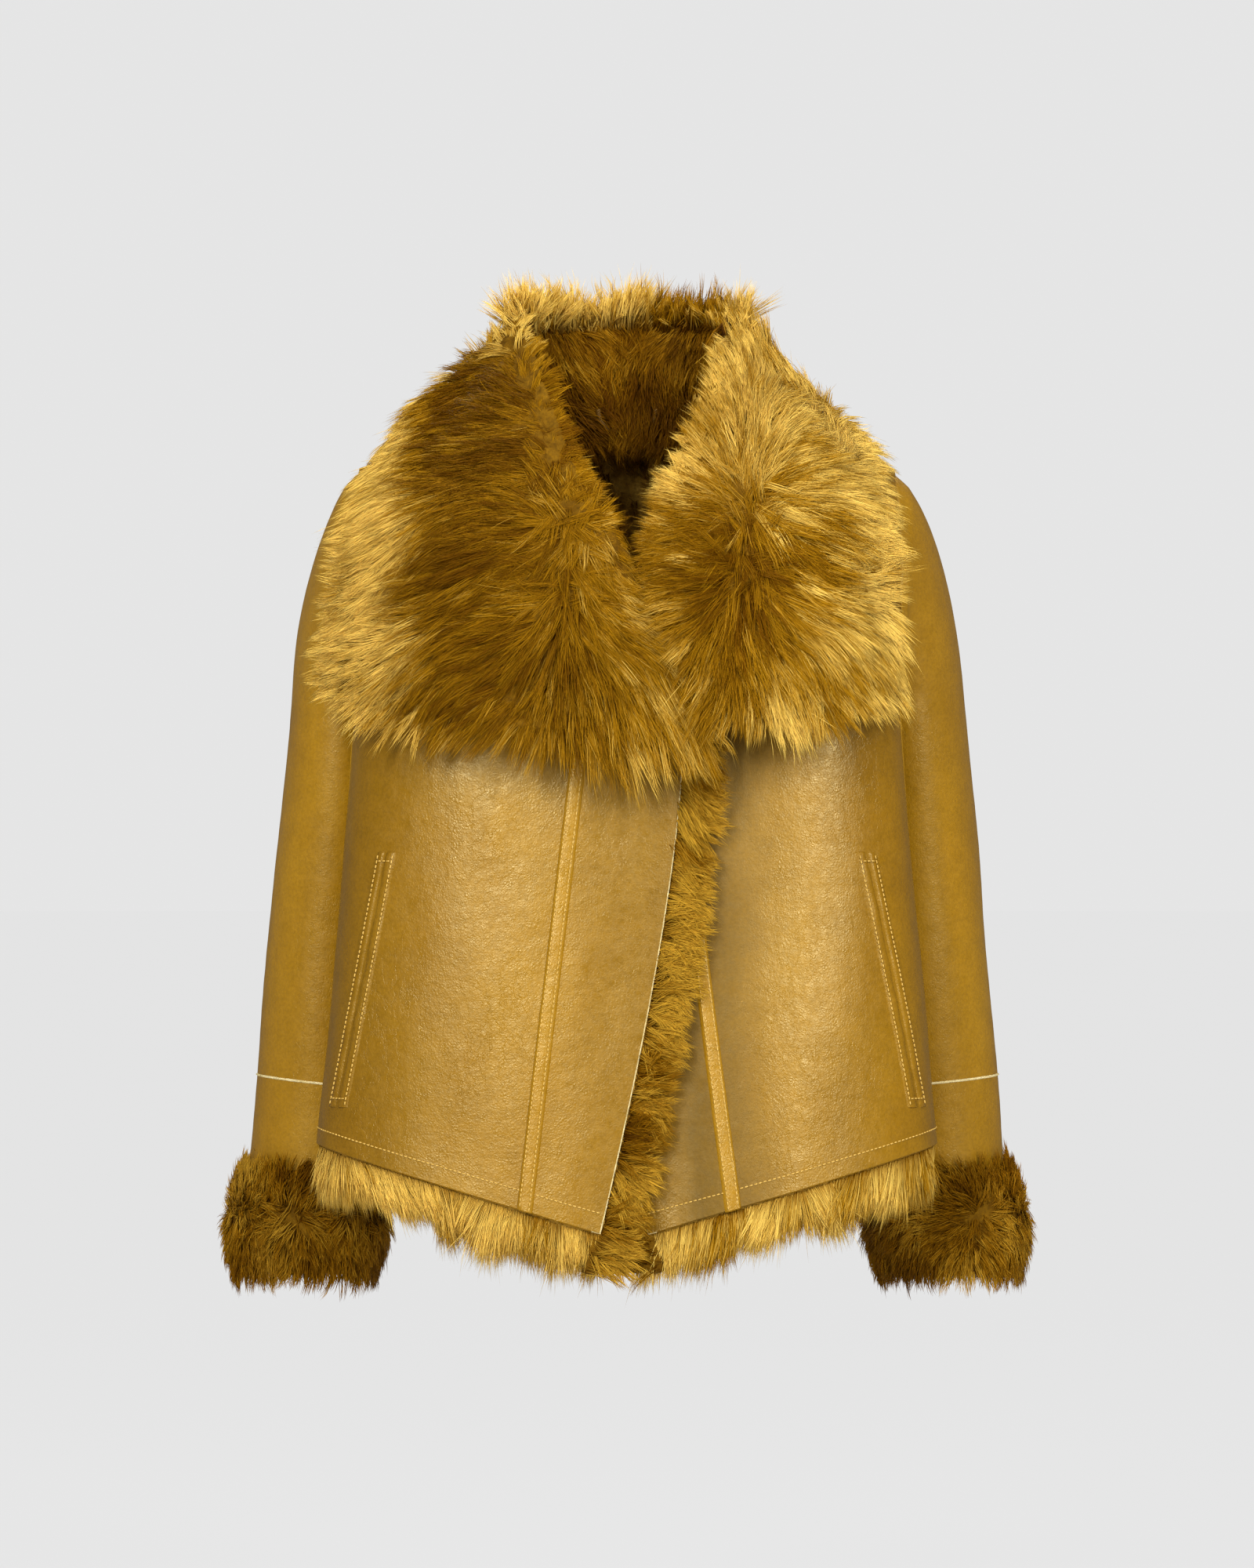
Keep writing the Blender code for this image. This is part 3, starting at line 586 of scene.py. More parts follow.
def fur(name, roots, comb, length, tone, attach, material, **style):
    """Locks of tapered hairs that grow from roots along comb.

    Each lock is one curve, and its hairs start apart and run together towards their tips. comb, length
    and tone are one value for each lock; tone 0 is the darkest dye and 1 the palest.
    """
    look = FUR_STYLE | style
    rng = np.random.default_rng(look["seed"])
    base, normal = roots["points"], roots["normals"]
    locks = len(base)
    flat = comb - normal * np.einsum("ij,ij->i", comb, normal)[:, None]
    flat = unit(flat + np.cross(normal, unit(flat)) * rng.normal(0, look["wild"], locks)[:, None])
    beside = np.cross(normal, flat)
    lift = np.radians(look["lift"] + rng.normal(0, 7, locks))
    length = length * rng.uniform(0.82, 1.12, locks)
    sway = rng.normal(0, look["sway"], locks)
    wave = rng.uniform(0, 6.3, locks)

    hairs = look["hairs"]
    lock = np.repeat(np.arange(locks), hairs)
    total = len(lock)
    reach = np.sqrt(rng.random(total)) * look["spread"] * (1 + 0.3 * rng.normal(size=total) ** 2)
    turn = rng.uniform(0, 2 * np.pi, total)
    start = flat[lock] * (reach * np.cos(turn))[:, None] + beside[lock] * (reach * np.sin(turn))[:, None]
    size = (length[lock] * rng.uniform(0.72, 1.08, total))[:, None]
    stray = rng.normal(0, 0.042, (total, 3))
    stray = stray + (rng.random(total) < 0.05)[:, None] * rng.normal(0, 0.12, (total, 3))
    n, f, s = normal[lock], flat[lock], beside[lock]
    rise = np.sin(lift)[lock][:, None]
    run = np.cos(lift)[lock][:, None]
    draw = look["clump"] * rng.uniform(0.8, 1.1, total)[:, None]

    def place(t):
        curve = f * (run * t) + n * (rise * (t - look["curl"] * t * t)) + DOWN * (look["droop"] * t * t)
        curve = curve + s * (sway[lock] * np.sin(2.6 * t + wave[lock]))[:, None] * t
        return base[lock] - n * look["sink"] + start * (1 - draw * t**0.8) + (curve + stray * t * t) * size

    shares = np.append(RING_SHARES, 1.0)
    spine = np.stack([place(t) for t in shares], axis=1)
    way = unit(np.gradient(spine, axis=1))
    flank = unit(np.cross(way, n[:, None, :] + 0.01))
    top = np.cross(way, flank)
    width = look["radius"] * rng.uniform(0.75, 1.3, total)[:, None] * RING_WIDTHS
    sides = []
    for corner in range(3):
        spin = 2 * np.pi * corner / 3
        away = flank[:, :-1] * math.cos(spin) + top[:, :-1] * math.sin(spin)
        sides.append(spine[:, :-1] + away * width[..., None])
    rings = np.stack(sides, axis=2).reshape(total, -1, 3)
    points = np.concatenate([rings, spine[:, -1:]], axis=1)

    dye = (tone + rng.normal(0, 0.10, locks))[lock] + rng.normal(0, 0.10, total)
    colour = np.clip(dye, 0, 1) * 0.92 + 0.04
    fan = np.tile((-0.012, 0.012, 0.0), len(RING_SHARES))
    along = np.repeat(RING_SHARES, 3)
    u = np.concatenate([colour[:, None] + fan, colour[:, None]], axis=1)
    v = np.broadcast_to(np.append(along, 1.0) * 0.92 + 0.04, u.shape)
    uv = np.stack([u, v], axis=-1)

    parts = math.ceil(total / STRANDS_PER_PIECE)
    for part, chosen in enumerate(np.array_split(np.arange(total), parts)):
        step = (np.arange(len(chosen)) * points.shape[1])[:, None, None]
        faces = [(kind[None] + step).reshape(-1, kind.shape[1]) for kind in strand_faces()]
        label = name if parts == 1 else f"{name}_{part + 1}"
        flat_points = points[chosen].reshape(-1, 3)
        attach(new_piece(label, flat_points, faces, [material], uv=uv[chosen].reshape(-1, 2), sharp=None))


def strand_faces():
    """One hair's faces: rings of three, a pointed tip and a closed foot."""
    quads = []
    for ring in range(len(RING_SHARES) - 1):
        for k in range(3):
            j = (k + 1) % 3
            quads.append((3 * ring + k, 3 * ring + j, 3 * ring + 3 + j, 3 * ring + 3 + k))
    last = 3 * (len(RING_SHARES) - 1)
    tips = [(last + k, last + (k + 1) % 3, last + 3) for k in range(3)]
    return np.array(quads), np.array(tips), np.array([(2, 1, 0)])


# ---- Materials ----

GLOSS_TINT = (1.0, 0.86, 0.46)
FUR_TINT = (1.0, 0.72, 0.16)


def node_material(name, roughness, specular=0.5, tint=(1, 1, 1)):
    material = bpy.data.materials.new(name)
    material.use_nodes = True
    shader = material.node_tree.nodes["Principled BSDF"]
    shader.inputs["Roughness"].default_value = roughness
    shader.inputs["Specular IOR Level"].default_value = specular
    shader.inputs["Specular Tint"].default_value = (*tint, 1)
    return material, material.node_tree, shader


def ramp(tree, factor, stops):
    node = tree.nodes.new("ShaderNodeValToRGB")
    for _ in stops[2:]:
        node.color_ramp.elements.new(0.5)
    for element, (place, colour) in zip(node.color_ramp.elements, stops):
        element.position = place
        element.color = (*colour, 1) if len(colour) == 3 else colour
    tree.links.new(factor, node.inputs["Fac"])
    return node.outputs["Color"]


def grey(value):
    return (value, value, value)


def noise(tree, where, scale, detail=3.0, stretch=None, rough=0.5):
    if stretch:
        mapping = tree.nodes.new("ShaderNodeMapping")
        mapping.inputs["Scale"].default_value = stretch
        tree.links.new(where, mapping.inputs["Vector"])
        where = mapping.outputs["Vector"]
    node = tree.nodes.new("ShaderNodeTexNoise")
    node.inputs["Scale"].default_value = scale
    node.inputs["Detail"].default_value = detail
    node.inputs["Roughness"].default_value = rough
    tree.links.new(where, node.inputs["Vector"])
    return node.outputs["Fac"]


def cells(tree, where, scale):
    node = tree.nodes.new("ShaderNodeTexVoronoi")
    node.feature = "DISTANCE_TO_EDGE"
    node.inputs["Scale"].default_value = scale
    tree.links.new(where, node.inputs["Vector"])
    return node.outputs["Distance"]


def times(tree, a, b, share=1.0):
    return blended(tree, "MULTIPLY", share, a, b)


def blended(tree, mode, factor, a, b):
    node = tree.nodes.new("ShaderNodeMix")
    node.data_type = "RGBA"
    node.blend_type = mode
    slots = (node.inputs[0], node.inputs[6], node.inputs[7])
    for slot, value in zip(slots, (factor, a, b)):
        if isinstance(value, bpy.types.NodeSocket):
            tree.links.new(value, slot)
        else:
            slot.default_value = value
    return node.outputs[2]


def maths(tree, operation, *values):
    node = tree.nodes.new("ShaderNodeMath")
    node.operation = operation
    for slot, value in zip(node.inputs, values):
        if isinstance(value, bpy.types.NodeSocket):
            tree.links.new(value, slot)
        else:
            slot.default_value = value
    return node.outputs[0]


def bumps(tree, shader, layers):
    """Chained bump nodes from (height, depth in metres) pairs."""
    normal = None
    for height, depth in layers:
        node = tree.nodes.new("ShaderNodeBump")
        node.inputs["Strength"].default_value = 1.0
        node.inputs["Distance"].default_value = depth
        tree.links.new(height, node.inputs["Height"])
        if normal is not None:
            tree.links.new(normal, node.inputs["Normal"])
        normal = node.outputs["Normal"]
    tree.links.new(normal, shader.inputs["Normal"])


def object_place(tree):
    return tree.nodes.new("ShaderNodeTexCoord").outputs["Object"]


def leather_material(name, deep, middle, light, roughness=0.42, gloss=0.55, painted_shade=()):
    """Waxy sheepskin nappa: cloudy colour, fine pebble grain and soft creases.

    The last argument is stops of painted shade: brightness from the wearer's right (0) to left (1), over half a
    metre, full where the lamps' highlights fall and darker elsewhere. A skin that has it is also duller near the
    left front edge.
    """
    material, tree, shader = node_material(name, roughness, gloss, GLOSS_TINT)
    where = object_place(tree)
    cloud = noise(tree, where, 7, 5, (1.6, 1, 0.7), 0.6)
    colour = ramp(tree, cloud, [(0.28, deep), (0.52, middle), (0.76, light)])
    speck = ramp(tree, noise(tree, where, 420, 2), [(0.3, grey(0.84)), (0.62, grey(1.0))])
    mottle = ramp(tree, noise(tree, where, 60, 3), [(0.35, grey(0.95)), (0.6, grey(1.03))])
    colour = times(tree, times(tree, colour, speck), mottle)
    # Painted shade: the colour darkens by its place across the fronts, following the stops.
    if painted_shade:
        split = tree.nodes.new("ShaderNodeSeparateXYZ")
        tree.links.new(where, split.inputs["Vector"])
        across = maths(tree, "MULTIPLY_ADD", split.outputs["X"], 2.0, 0.5)
        wander = noise(tree, where, 9, 3)
        across = maths(tree, "MULTIPLY_ADD", wander, 0.12, maths(tree, "SUBTRACT", across, 0.06))
        colour = times(tree, colour, ramp(tree, across, [(at, grey(tone)) for at, tone in painted_shade]))
    tree.links.new(colour, shader.inputs["Base Color"])
    grain = noise(tree, where, 120, 5, None, 0.7)
    rough = ramp(tree, grain, [(0.3, grey(roughness - 0.09)), (0.7, grey(roughness + 0.12))])
    if painted_shade:
        dull = [(0.56, grey(0)), (0.61, grey(0.30)), (0.67, grey(0.20)), (0.72, grey(0))]
        rough = maths(tree, "ADD", rough, ramp(tree, across, dull))
    tree.links.new(rough, shader.inputs["Roughness"])
    lines = noise(tree, where, 42, 5, (1.6, 1, 0.8), 0.62)
    crease = ramp(tree, lines, [(0.475, grey(1)), (0.5, grey(0)), (0.525, grey(1))])
    worn = ramp(tree, noise(tree, where, 7, 2), [(0.46, grey(0)), (0.62, grey(1))])
    crease = blended(tree, "MIX", worn, (1, 1, 1, 1), crease)
    pebbles = [(cells(tree, where, 480), 0.00018), (noise(tree, where, 260, 3), 0.00026)]
    bumps(tree, shader, pebbles + [(crease, 0.00012), (noise(tree, where, 45, 2), 0.00045)])
    return material


def fur_material(name, roots, deep, middle, light):
    """Dyed long wool: the colour follows each hair's own dye tone and darkens towards its root."""
    material, tree, shader = node_material(name, 0.46, 0.20, FUR_TINT)
    uv = tree.nodes.new("ShaderNodeUVMap")
    uv.uv_map = "OFBake"
    split = tree.nodes.new("ShaderNodeSeparateXYZ")
    tree.links.new(uv.outputs["UV"], split.inputs["Vector"])
    dye = ramp(tree, split.outputs["X"], [(0.05, deep), (0.48, middle), (0.95, light)])
    depth = ramp(tree, split.outputs["Y"], [(0.05, roots), (0.45, grey(0.80)), (0.95, grey(1.12))])
    tree.links.new(times(tree, dye, depth), shader.inputs["Base Color"])
    return material


def wool_material(name, deep, light):
    """Short curly wool or the dense floor of the fur."""
    material, tree, shader = node_material(name, 0.9, 0.08)
    where = object_place(tree)
    curl = noise(tree, where, 330, 4, None, 0.65)
    tuft = noise(tree, where, 90, 3)
    colour = ramp(tree, tuft, [(0.32, deep), (0.68, light)])
    colour = times(tree, colour, ramp(tree, curl, [(0.3, grey(0.55)), (0.65, grey(1.1))]), 0.8)
    tree.links.new(colour, shader.inputs["Base Color"])
    rough = ramp(tree, curl, [(0.3, grey(0.82)), (0.7, grey(0.98))])
    tree.links.new(rough, shader.inputs["Roughness"])
    bumps(tree, shader, [(curl, 0.0016), (tuft, 0.0024)])
    return material


def thread_material(name, deep, light):
    material, tree, shader = node_material(name, 0.6, 0.35)
    where = object_place(tree)
    twist = noise(tree, where, 1500, 2, (1, 1, 0.4))
    tree.links.new(ramp(tree, twist, [(0.35, deep), (0.65, light)]), shader.inputs["Base Color"])
    tree.links.new(ramp(tree, twist, [(0.3, grey(0.5)), (0.7, grey(0.7))]), shader.inputs["Roughness"])
    bumps(tree, shader, [(twist, 0.0002)])
    return material


def floor_material():
    """A matt pale floor with faint mottling, which glows a little so that it meets the backdrop."""
    material, tree, shader = node_material("studio_floor", 0.9, 0.1)
    where = object_place(tree)
    tone = ramp(tree, noise(tree, where, 1.5, 2), [(0.3, grey(0.045)), (0.7, grey(0.049))])
    tree.links.new(tone, shader.inputs["Base Color"])
    shader.inputs["Emission Color"].default_value = (0.78, 0.78, 0.78, 1)
    shader.inputs["Emission Strength"].default_value = 0.975
    return material


LEATHER_LOOK = leather_material(
    "mustard_leather", (0.285, 0.136, 0.0035), (0.330, 0.163, 0.0045), (0.375, 0.192, 0.0065), 0.40
)
# Painted shade across the fronts: full at x = -0.10 and x = +0.135, where the lamps' highlights fall, darker
# towards the sides, and darkest beside the left front's fur edge, in the right front's shade.
FRONT_PAINTED_SHADE = [(0.03, 0.78), (0.12, 0.74), (0.20, 0.84), (0.30, 1.0), (0.40, 0.96), (0.46, 0.84), (0.575, 0.72)]
FRONT_PAINTED_SHADE += [(0.60, 0.46), (0.66, 0.58), (0.72, 0.88), (0.77, 1.0), (0.84, 0.84), (0.92, 0.92), (0.97, 0.84)]
FRONT_LOOK = leather_material(
    "front_leather", (0.235, 0.109, 0.0025), (0.270, 0.130, 0.0032), (0.305, 0.152, 0.0048), 0.35, 0.58, FRONT_PAINTED_SHADE
)
STRIP_LOOK = leather_material(
    "strip_leather", (0.27, 0.128, 0.0035), (0.31, 0.152, 0.0050), (0.35, 0.180, 0.009), 0.32, 0.60
)
RAW_LOOK = wool_material("raw_edge", (0.74, 0.58, 0.24), (0.92, 0.78, 0.42))
PALE_FUR = fur_material(
    "pale_fur", (0.40, 0.31, 0.17), (0.150, 0.054, 0.0005), (0.410, 0.195, 0.004), (0.95, 0.640, 0.130)
)
DARK_FUR = fur_material(
    "dark_fur", (0.28, 0.18, 0.08), (0.105, 0.034, 0.0005), (0.280, 0.118, 0.002), (0.60, 0.340, 0.030)
)
FLOOR_WOOL = wool_material("fur_floor", (0.100, 0.043, 0.0008), (0.200, 0.094, 0.0035))
DARK_WOOL = wool_material("dark_wool", (0.050, 0.016, 0.0004), (0.11, 0.040, 0.001))
LINING_WOOL = wool_material("lining_wool", (0.26, 0.125, 0.012), (0.50, 0.290, 0.045))
THREAD = thread_material("yellow_thread", (0.42, 0.24, 0.030), (0.66, 0.42, 0.100))
LOOP_LOOK = thread_material("loop_cord", (0.085, 0.036, 0.002), (0.17, 0.080, 0.005))
BAG_LOOK = thread_material("bag_cotton", (0.30, 0.18, 0.03), (0.42, 0.27, 0.06))


# ---- Attaching ----


def riding(body, slot):
    def attach(piece):
        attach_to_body(piece, body)
        return piece

    return attach


def bending(slot):
    def attach(piece):
        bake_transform(piece)
        return piece

    return attach


def on_front(slot):
    return bending(slot)


def on_lapel(slot):
    return bending(slot)


def on_elbow(slot):
    return bending(slot)


def on_shoulder(slot):
    return bending(slot)


# ---- Small pieces ----


def read_at(marks, run, values):
    """Rows of values, which stand at the distances run, read at other distances."""
    return np.stack([np.interp(marks, run, values[:, k]) for k in range(3)], axis=-1)


def stitch_row(name, lines, attach):
    """Short thread capsules end to end along lines; each line is points and outward normals."""
    ring_x = np.array((-0.5, -0.40, 0.0, 0.40, 0.5)) * STITCH_LENGTH
    ring_r = np.array((0.25, 0.8, 1.0, 0.8, 0.25)) * STITCH_RADIUS
    spokes = 6
    all_points = []
    for line, normals in lines:
        steps = np.linalg.norm(np.diff(line, axis=0), axis=1)
        run = np.concatenate([[0], np.cumsum(steps)])
        marks = np.arange(STITCH_PITCH, run[-1] - STITCH_PITCH / 2, STITCH_PITCH)
        centre = read_at(marks, run, line)
        ahead = read_at(marks + 0.001, run, line)
        normal = unit(read_at(marks, run, normals))
        way = unit(ahead - centre)
        flank = unit(np.cross(way, normal))
        up = np.cross(flank, way)
        spin = np.arange(spokes) * 2 * np.pi / spokes
        cosine, sine = (turn[None, None, :, None] for turn in (np.cos(spin), np.sin(spin)))
        ring = flank[:, None, None] * cosine + up[:, None, None] * sine
        points = centre[:, None, None] + way[:, None, None] * ring_x[None, :, None, None]
        points = points + ring * ring_r[None, :, None, None]
        all_points.append(points.reshape(-1, 5 * spokes, 3))
    points = np.concatenate(all_points)
    quads = []
    for r in range(4):
        for k in range(spokes):
            j = (k + 1) % spokes
            quads.append((r * spokes + k, r * spokes + j, (r + 1) * spokes + j, (r + 1) * spokes + k))
    caps = [tuple(range(spokes))[::-1], tuple(range(4 * spokes, 5 * spokes))]
    step = (np.arange(len(points)) * points.shape[1])[:, None, None]
    faces = [(np.array(quads)[None] + step).reshape(-1, 4), (np.array(caps)[None] + step).reshape(-1, spokes)]
    flat = points.reshape(-1, 3)
    if volume(flat, faces) < 0:
        faces = [f[:, ::-1] for f in faces]
    return attach(new_piece(name, flat, faces, [THREAD], sharp=None))


def soft_folds(grid, seed, amount=1.0):
    """Broad drape, shallow puckers and a slow wander of the skin, in metres."""
    broad = waves(grid, 0.26, seed, (1.6, 1, 0.35)) * 0.0013
    small = waves(grid, 0.075, seed + 1, (1.2, 1, 0.6)) * 0.00022
    fine = waves(grid, 0.018, seed + 2) * 0.00005
    return (broad + small + fine) * amount


def made(name, outer, inner, looks, attach, nodes=(), **shape):
    """A slab that is attached and stands for some CAD nodes."""
    piece = slab(name, outer, inner, looks, **shape)
    attach(piece)
    if nodes:
        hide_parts(*nodes)
    return piece


def leather_slab(name, grid, folds, attach, nodes=(), looks=None, **shape):
    wrap = shape.get("wrap", False)
    outer = pushed(grid, folds, wrap)
    inner = pushed(grid, folds - LEATHER, wrap)
    made(name, outer, inner, looks or [LEATHER_LOOK], attach, nodes, **shape)


def wool_slab(name, grid, folds, attach, seed, wrap=False):
    """The felted layer of wool behind a skin, whose free face is knobbly."""
    knobs = waves(grid, 0.011, seed) * 0.0011 + waves(grid, 0.005, seed + 1) * 0.0011 * 0.4
    outer = pushed(grid, folds - WOOL_NEAR, wrap)
    inner = pushed(grid, folds - WOOL_FAR + knobs, wrap)
    made(name, outer, inner, [LINING_WOOL], attach, wrap=wrap, bulge=0.5, sharp=None)


def fur_skin(name, grid, folds, knobs, attach_to, nodes):
    """A skin worn fur side out: its leather underneath, and the dense floor of its wool."""
    outer, inner = (pushed(grid, folds + height) for height in FUR_LEATHER)
    made(f"{name}_leather", outer, inner, [LEATHER_LOOK], attach_to("leather"), nodes)
    top, foot = FUR_FLOOR
    outer, inner = pushed(grid, folds + top + knobs), pushed(grid, folds + foot)
    made(f"{name}_floor", outer, inner, [FLOOR_WOOL], attach_to("fur_pale"), bulge=0.7, sharp=None)


# ---- The jacket's parts ----


def make_back():
    attach = riding("torso", "leather")
    step = 0.0006
    half = back_surface(CENTRE_STRIP + step, 1 - step, 74)
    middle = back_surface(0, CENTRE_STRIP - step, 8)
    strip = np.concatenate([mirrored(middle[:, ::-1]), middle[:, 1:]], axis=1)
    strip_folds = soft_folds(strip, BACK_SEED)
    lines = [faced(pushed(strip, strip_folds + 0.0010)[:, column]) for column in (2, -3)]
    for side, name in ((1, "left"), (-1, "right")):
        grid = placed(half, side)
        folds = soft_folds(grid, BACK_SEED)
        leather_slab(f"back_{name}_leather", grid, folds, attach, [f"back_panel_{name}"])
        wool_slab(f"back_{name}_wool", grid, folds, attach, 31)
        flank = placed(side_surface(), side)
        flank_folds = soft_folds(flank, FLANK_SEED)
        leather_slab(f"side_{name}_leather", flank, flank_folds, attach, [f"side_panel_{name}"])
        wool_slab(f"side_{name}_wool", flank, flank_folds, attach, 33)
        face = pushed(grid, folds + 0.0003)
        flank_face = pushed(flank, flank_folds + 0.0003)
        lines += [faced(face[-4]), faced(face[:, -3]), faced(flank_face[-4])]
    leather_slab("back_strip_leather", strip, strip_folds + 0.0007, attach, ["centre_back_strip"])
    wool_slab("back_strip_wool", strip, strip_folds, attach, 35)
    stitch_row("back_stitches", lines, attach)


def make_front(side, name):
    seed = FRONT_SEEDS[side]
    grid = front_grid(side)
    folds = soft_folds(grid, seed)
    attach = on_front("leather")
    nodes = [f"front_panel_{name}", f"front_band_{name}", f"chest_panel_{name}"]
    looks = [FRONT_LOOK, RAW_LOOK]
    leather_slab(f"front_{name}_leather", grid, folds, attach, nodes, looks, raw_from=60)
    make_neck_edge_fur(side, name, pushed(grid, folds + 0.0003)[3:47, -7:])
    make_neck_wall(side, name, pushed(grid, folds - 0.004)[:, -1])
    wool_slab(f"front_{name}_wool", grid, folds, attach, seed + 5)

    def raised(line, height):
        drape = soft_folds(line, seed)
        return line - inward(line) * (drape + height)[..., None]

    def strip_edge(way):
        return lambda z: seam_x(side, z) + way * STRIP_WIDTH / 2

    strip = front_surface(side, strip_edge(-1), strip_edge(1), 110, 7)
    crown = np.array((0.0012, 0.0021, 0.0020, 0.0022, 0.0020, 0.0021, 0.0012))
    outer, inner = raised(strip, crown[None, :]), raised(strip, -0.0006)
    made(f"seam_strip_{name}_tape", outer, inner, [STRIP_LOOK], attach, [f"seam_strip_{name}"])
    lines = [faced(raised(strip[:, column], 0.0023)) for column in (1, 5)]
    hem = grid[-5]
    lines.append((raised(hem, 0.0004), -inward(hem)))
    make_pocket(side, name, raised, lines)
    stitch_row(f"front_{name}_stitches", lines, attach)


def make_neck_wall(side, name, neck_edge):
    """The wool that joins the front's neck edge to the lapel's roll line."""
    share = np.linspace(0, 0.64, 40)
    roll_line = through(list(lapel_surface(side)[:, 0]), share)
    low_line = through(list(neck_edge[: CHEST_ROWS + 1]), share)
    across = np.linspace(0, 1, 12)[None, :, None]
    grid = mix(low_line[:, None], roll_line[:, None], across)
    normal = unit(np.cross(np.gradient(grid, axis=0), np.gradient(grid, axis=1)))
    thick = normal * (0.0016 + waves(grid, 0.010, 188 + side) * 0.0012)[..., None]
    attach = riding("torso", "fur_dark")
    made(f"neck_wall_{name}", grid + thick, grid - thick, [FLOOR_WOOL], attach, bulge=0.5, sharp=None)


def make_neck_edge_fur(side, name, surface):
    """The wool wraps round the front's inner edge, where the lapel folds away from it."""
    roots = scatter(surface, 380, 180 + side)
    p = roots["points"]
    comb = vec(-side * 0.7 + 0.3 * waves(p, 0.04, 182), -0.4, 0.35 + 0.4 * waves(p, 0.05, 183))
    tone = 0.26 + 0.12 * waves(p, 0.04, 184)
    length = 0.019 + 0.002 * waves(p, 0.03, 185)
    style = {"hairs": 12, "lift": 32, "spread": 0.0042, "seed": 186 + side, "wild": 0.2, "clump": 0.6}
    fur(f"neck_edge_fur_{name}", roots, comb, length, tone, on_front("fur_dark"), DARK_FUR, **style)


def make_pocket(side, name, raised, lines):
    """A slanted welt with a slit down its middle, two rows of stitches and a bar at each end."""
    attach = on_front("leather")
    half = WELT_WIDTH / 2
    z = np.linspace(POCKET_TOP_Z, POCKET_TOP_Z - POCKET_LENGTH, 90)[:, None]
    crown = np.array((0.0003, 0.0009, 0.0011, 0.0012, -0.0006))[None, :]
    for label, low, high, nodes in (("outer", 1.0, 0.17, [f"pocket_welt_{name}"]), ("inner", -1.0, 0.12, [])):
        surface = front_point(side * (pocket_x(z) + np.linspace(low, high, 5)[None, :] * half), z)
        outer = raised(surface, crown + waves(surface, 0.03, 61) * 0.0002)
        made(f"pocket_{name}_welt_{label}", outer, raised(surface, -0.0010), [FRONT_LOOK], attach, nodes)
    line_z = z[:, 0]
    for place in (-0.78, 0.80):
        x = side * (pocket_x(line_z) + place * half)
        lines.append(faced(raised(front_point(x, line_z), 0.0014)))
    for end_z in (line_z[3], line_z[-4]):
        x = side * (pocket_x(end_z) + np.linspace(-0.85, 0.85, 12) * half)
        lines.append(faced(raised(front_point(x, np.full_like(x, end_z)), 0.0017)))
    make_pocket_bag(side, name, attach)


def make_pocket_bag(side, name, attach):
    """A flat cotton bag behind the skin, thicker towards its middle."""
    rows, columns = 40, 30
    z = np.linspace(POCKET_TOP_Z - 0.008, -0.530, rows)[:, None]
    lateral = np.minimum(pocket_x(z), pocket_x(POCKET_TOP_Z - 0.1)) + 0.014
    x = side * mix(lateral, pocket_x(z) - 0.094, np.linspace(0, 1, columns)[None, :])
    bag = front_point(x, z, lap_at(side, x, z))
    pucker = waves(bag, 0.03, 63) * 0.0009
    down, across = (np.minimum(np.linspace(0, 1, n), np.linspace(1, 0, n)) for n in (rows, columns))
    puff = 0.0062 * ease(across[None, :] * down[:, None] * 14)
    outer = sunk(bag, (0.0236 - puff + pucker)[..., None])
    inner = sunk(bag, (0.0246 + puff + pucker)[..., None])
    made(f"pocket_{name}_bag", outer, inner, [BAG_LOOK], attach, [f"pocket_bag_{name}"])


def make_edge_fur(side, name):
    """Fur that spills past the front edge from the skin's wool side."""
    attach = on_front("fur_dark")
    z = np.linspace(-0.250, -0.642, 110)[:, None]
    toward = -side
    x = side * inner_edge(side, z) + np.linspace(-0.004, 0.021, 8)[None, :] * toward
    surface = front_point(x, z, (0 if side < 0 else LAP_DEPTH) + 0.0035)
    pad = (surface, sunk(surface, 0.0065))
    made(f"edge_fur_{name}_pad", *pad, [FLOOR_WOOL], attach, [f"edge_fur_{name}"], bulge=0.6, sharp=None)
    count = 1050 if side < 0 else 320
    roots = scatter(surface, count, 71)
    p = roots["points"]
    rng = np.random.default_rng(72)
    comb = vec(toward * 0.95, -0.15, -0.20 + 0.50 * waves(p, 0.05, 73) + rng.normal(0, 0.2, count))
    length = mix(0.026, 0.034, rng.random(count)) * mix(1.15, 0.8, roots["across"])
    pale = 0.30 * roots["across"] + 0.25 * spot(p[:, 0], p[:, 2], 0.03, -0.43, 0.2, 0.08)
    tone = 0.52 + 0.22 * waves(p, 0.07, 74) + pale
    style = {"hairs": 12, "lift": 36, "spread": 0.0030, "seed": 75, "wild": 0.3}
    fur(f"edge_fur_{name}", roots, comb, length, tone, attach, DARK_FUR, **style)


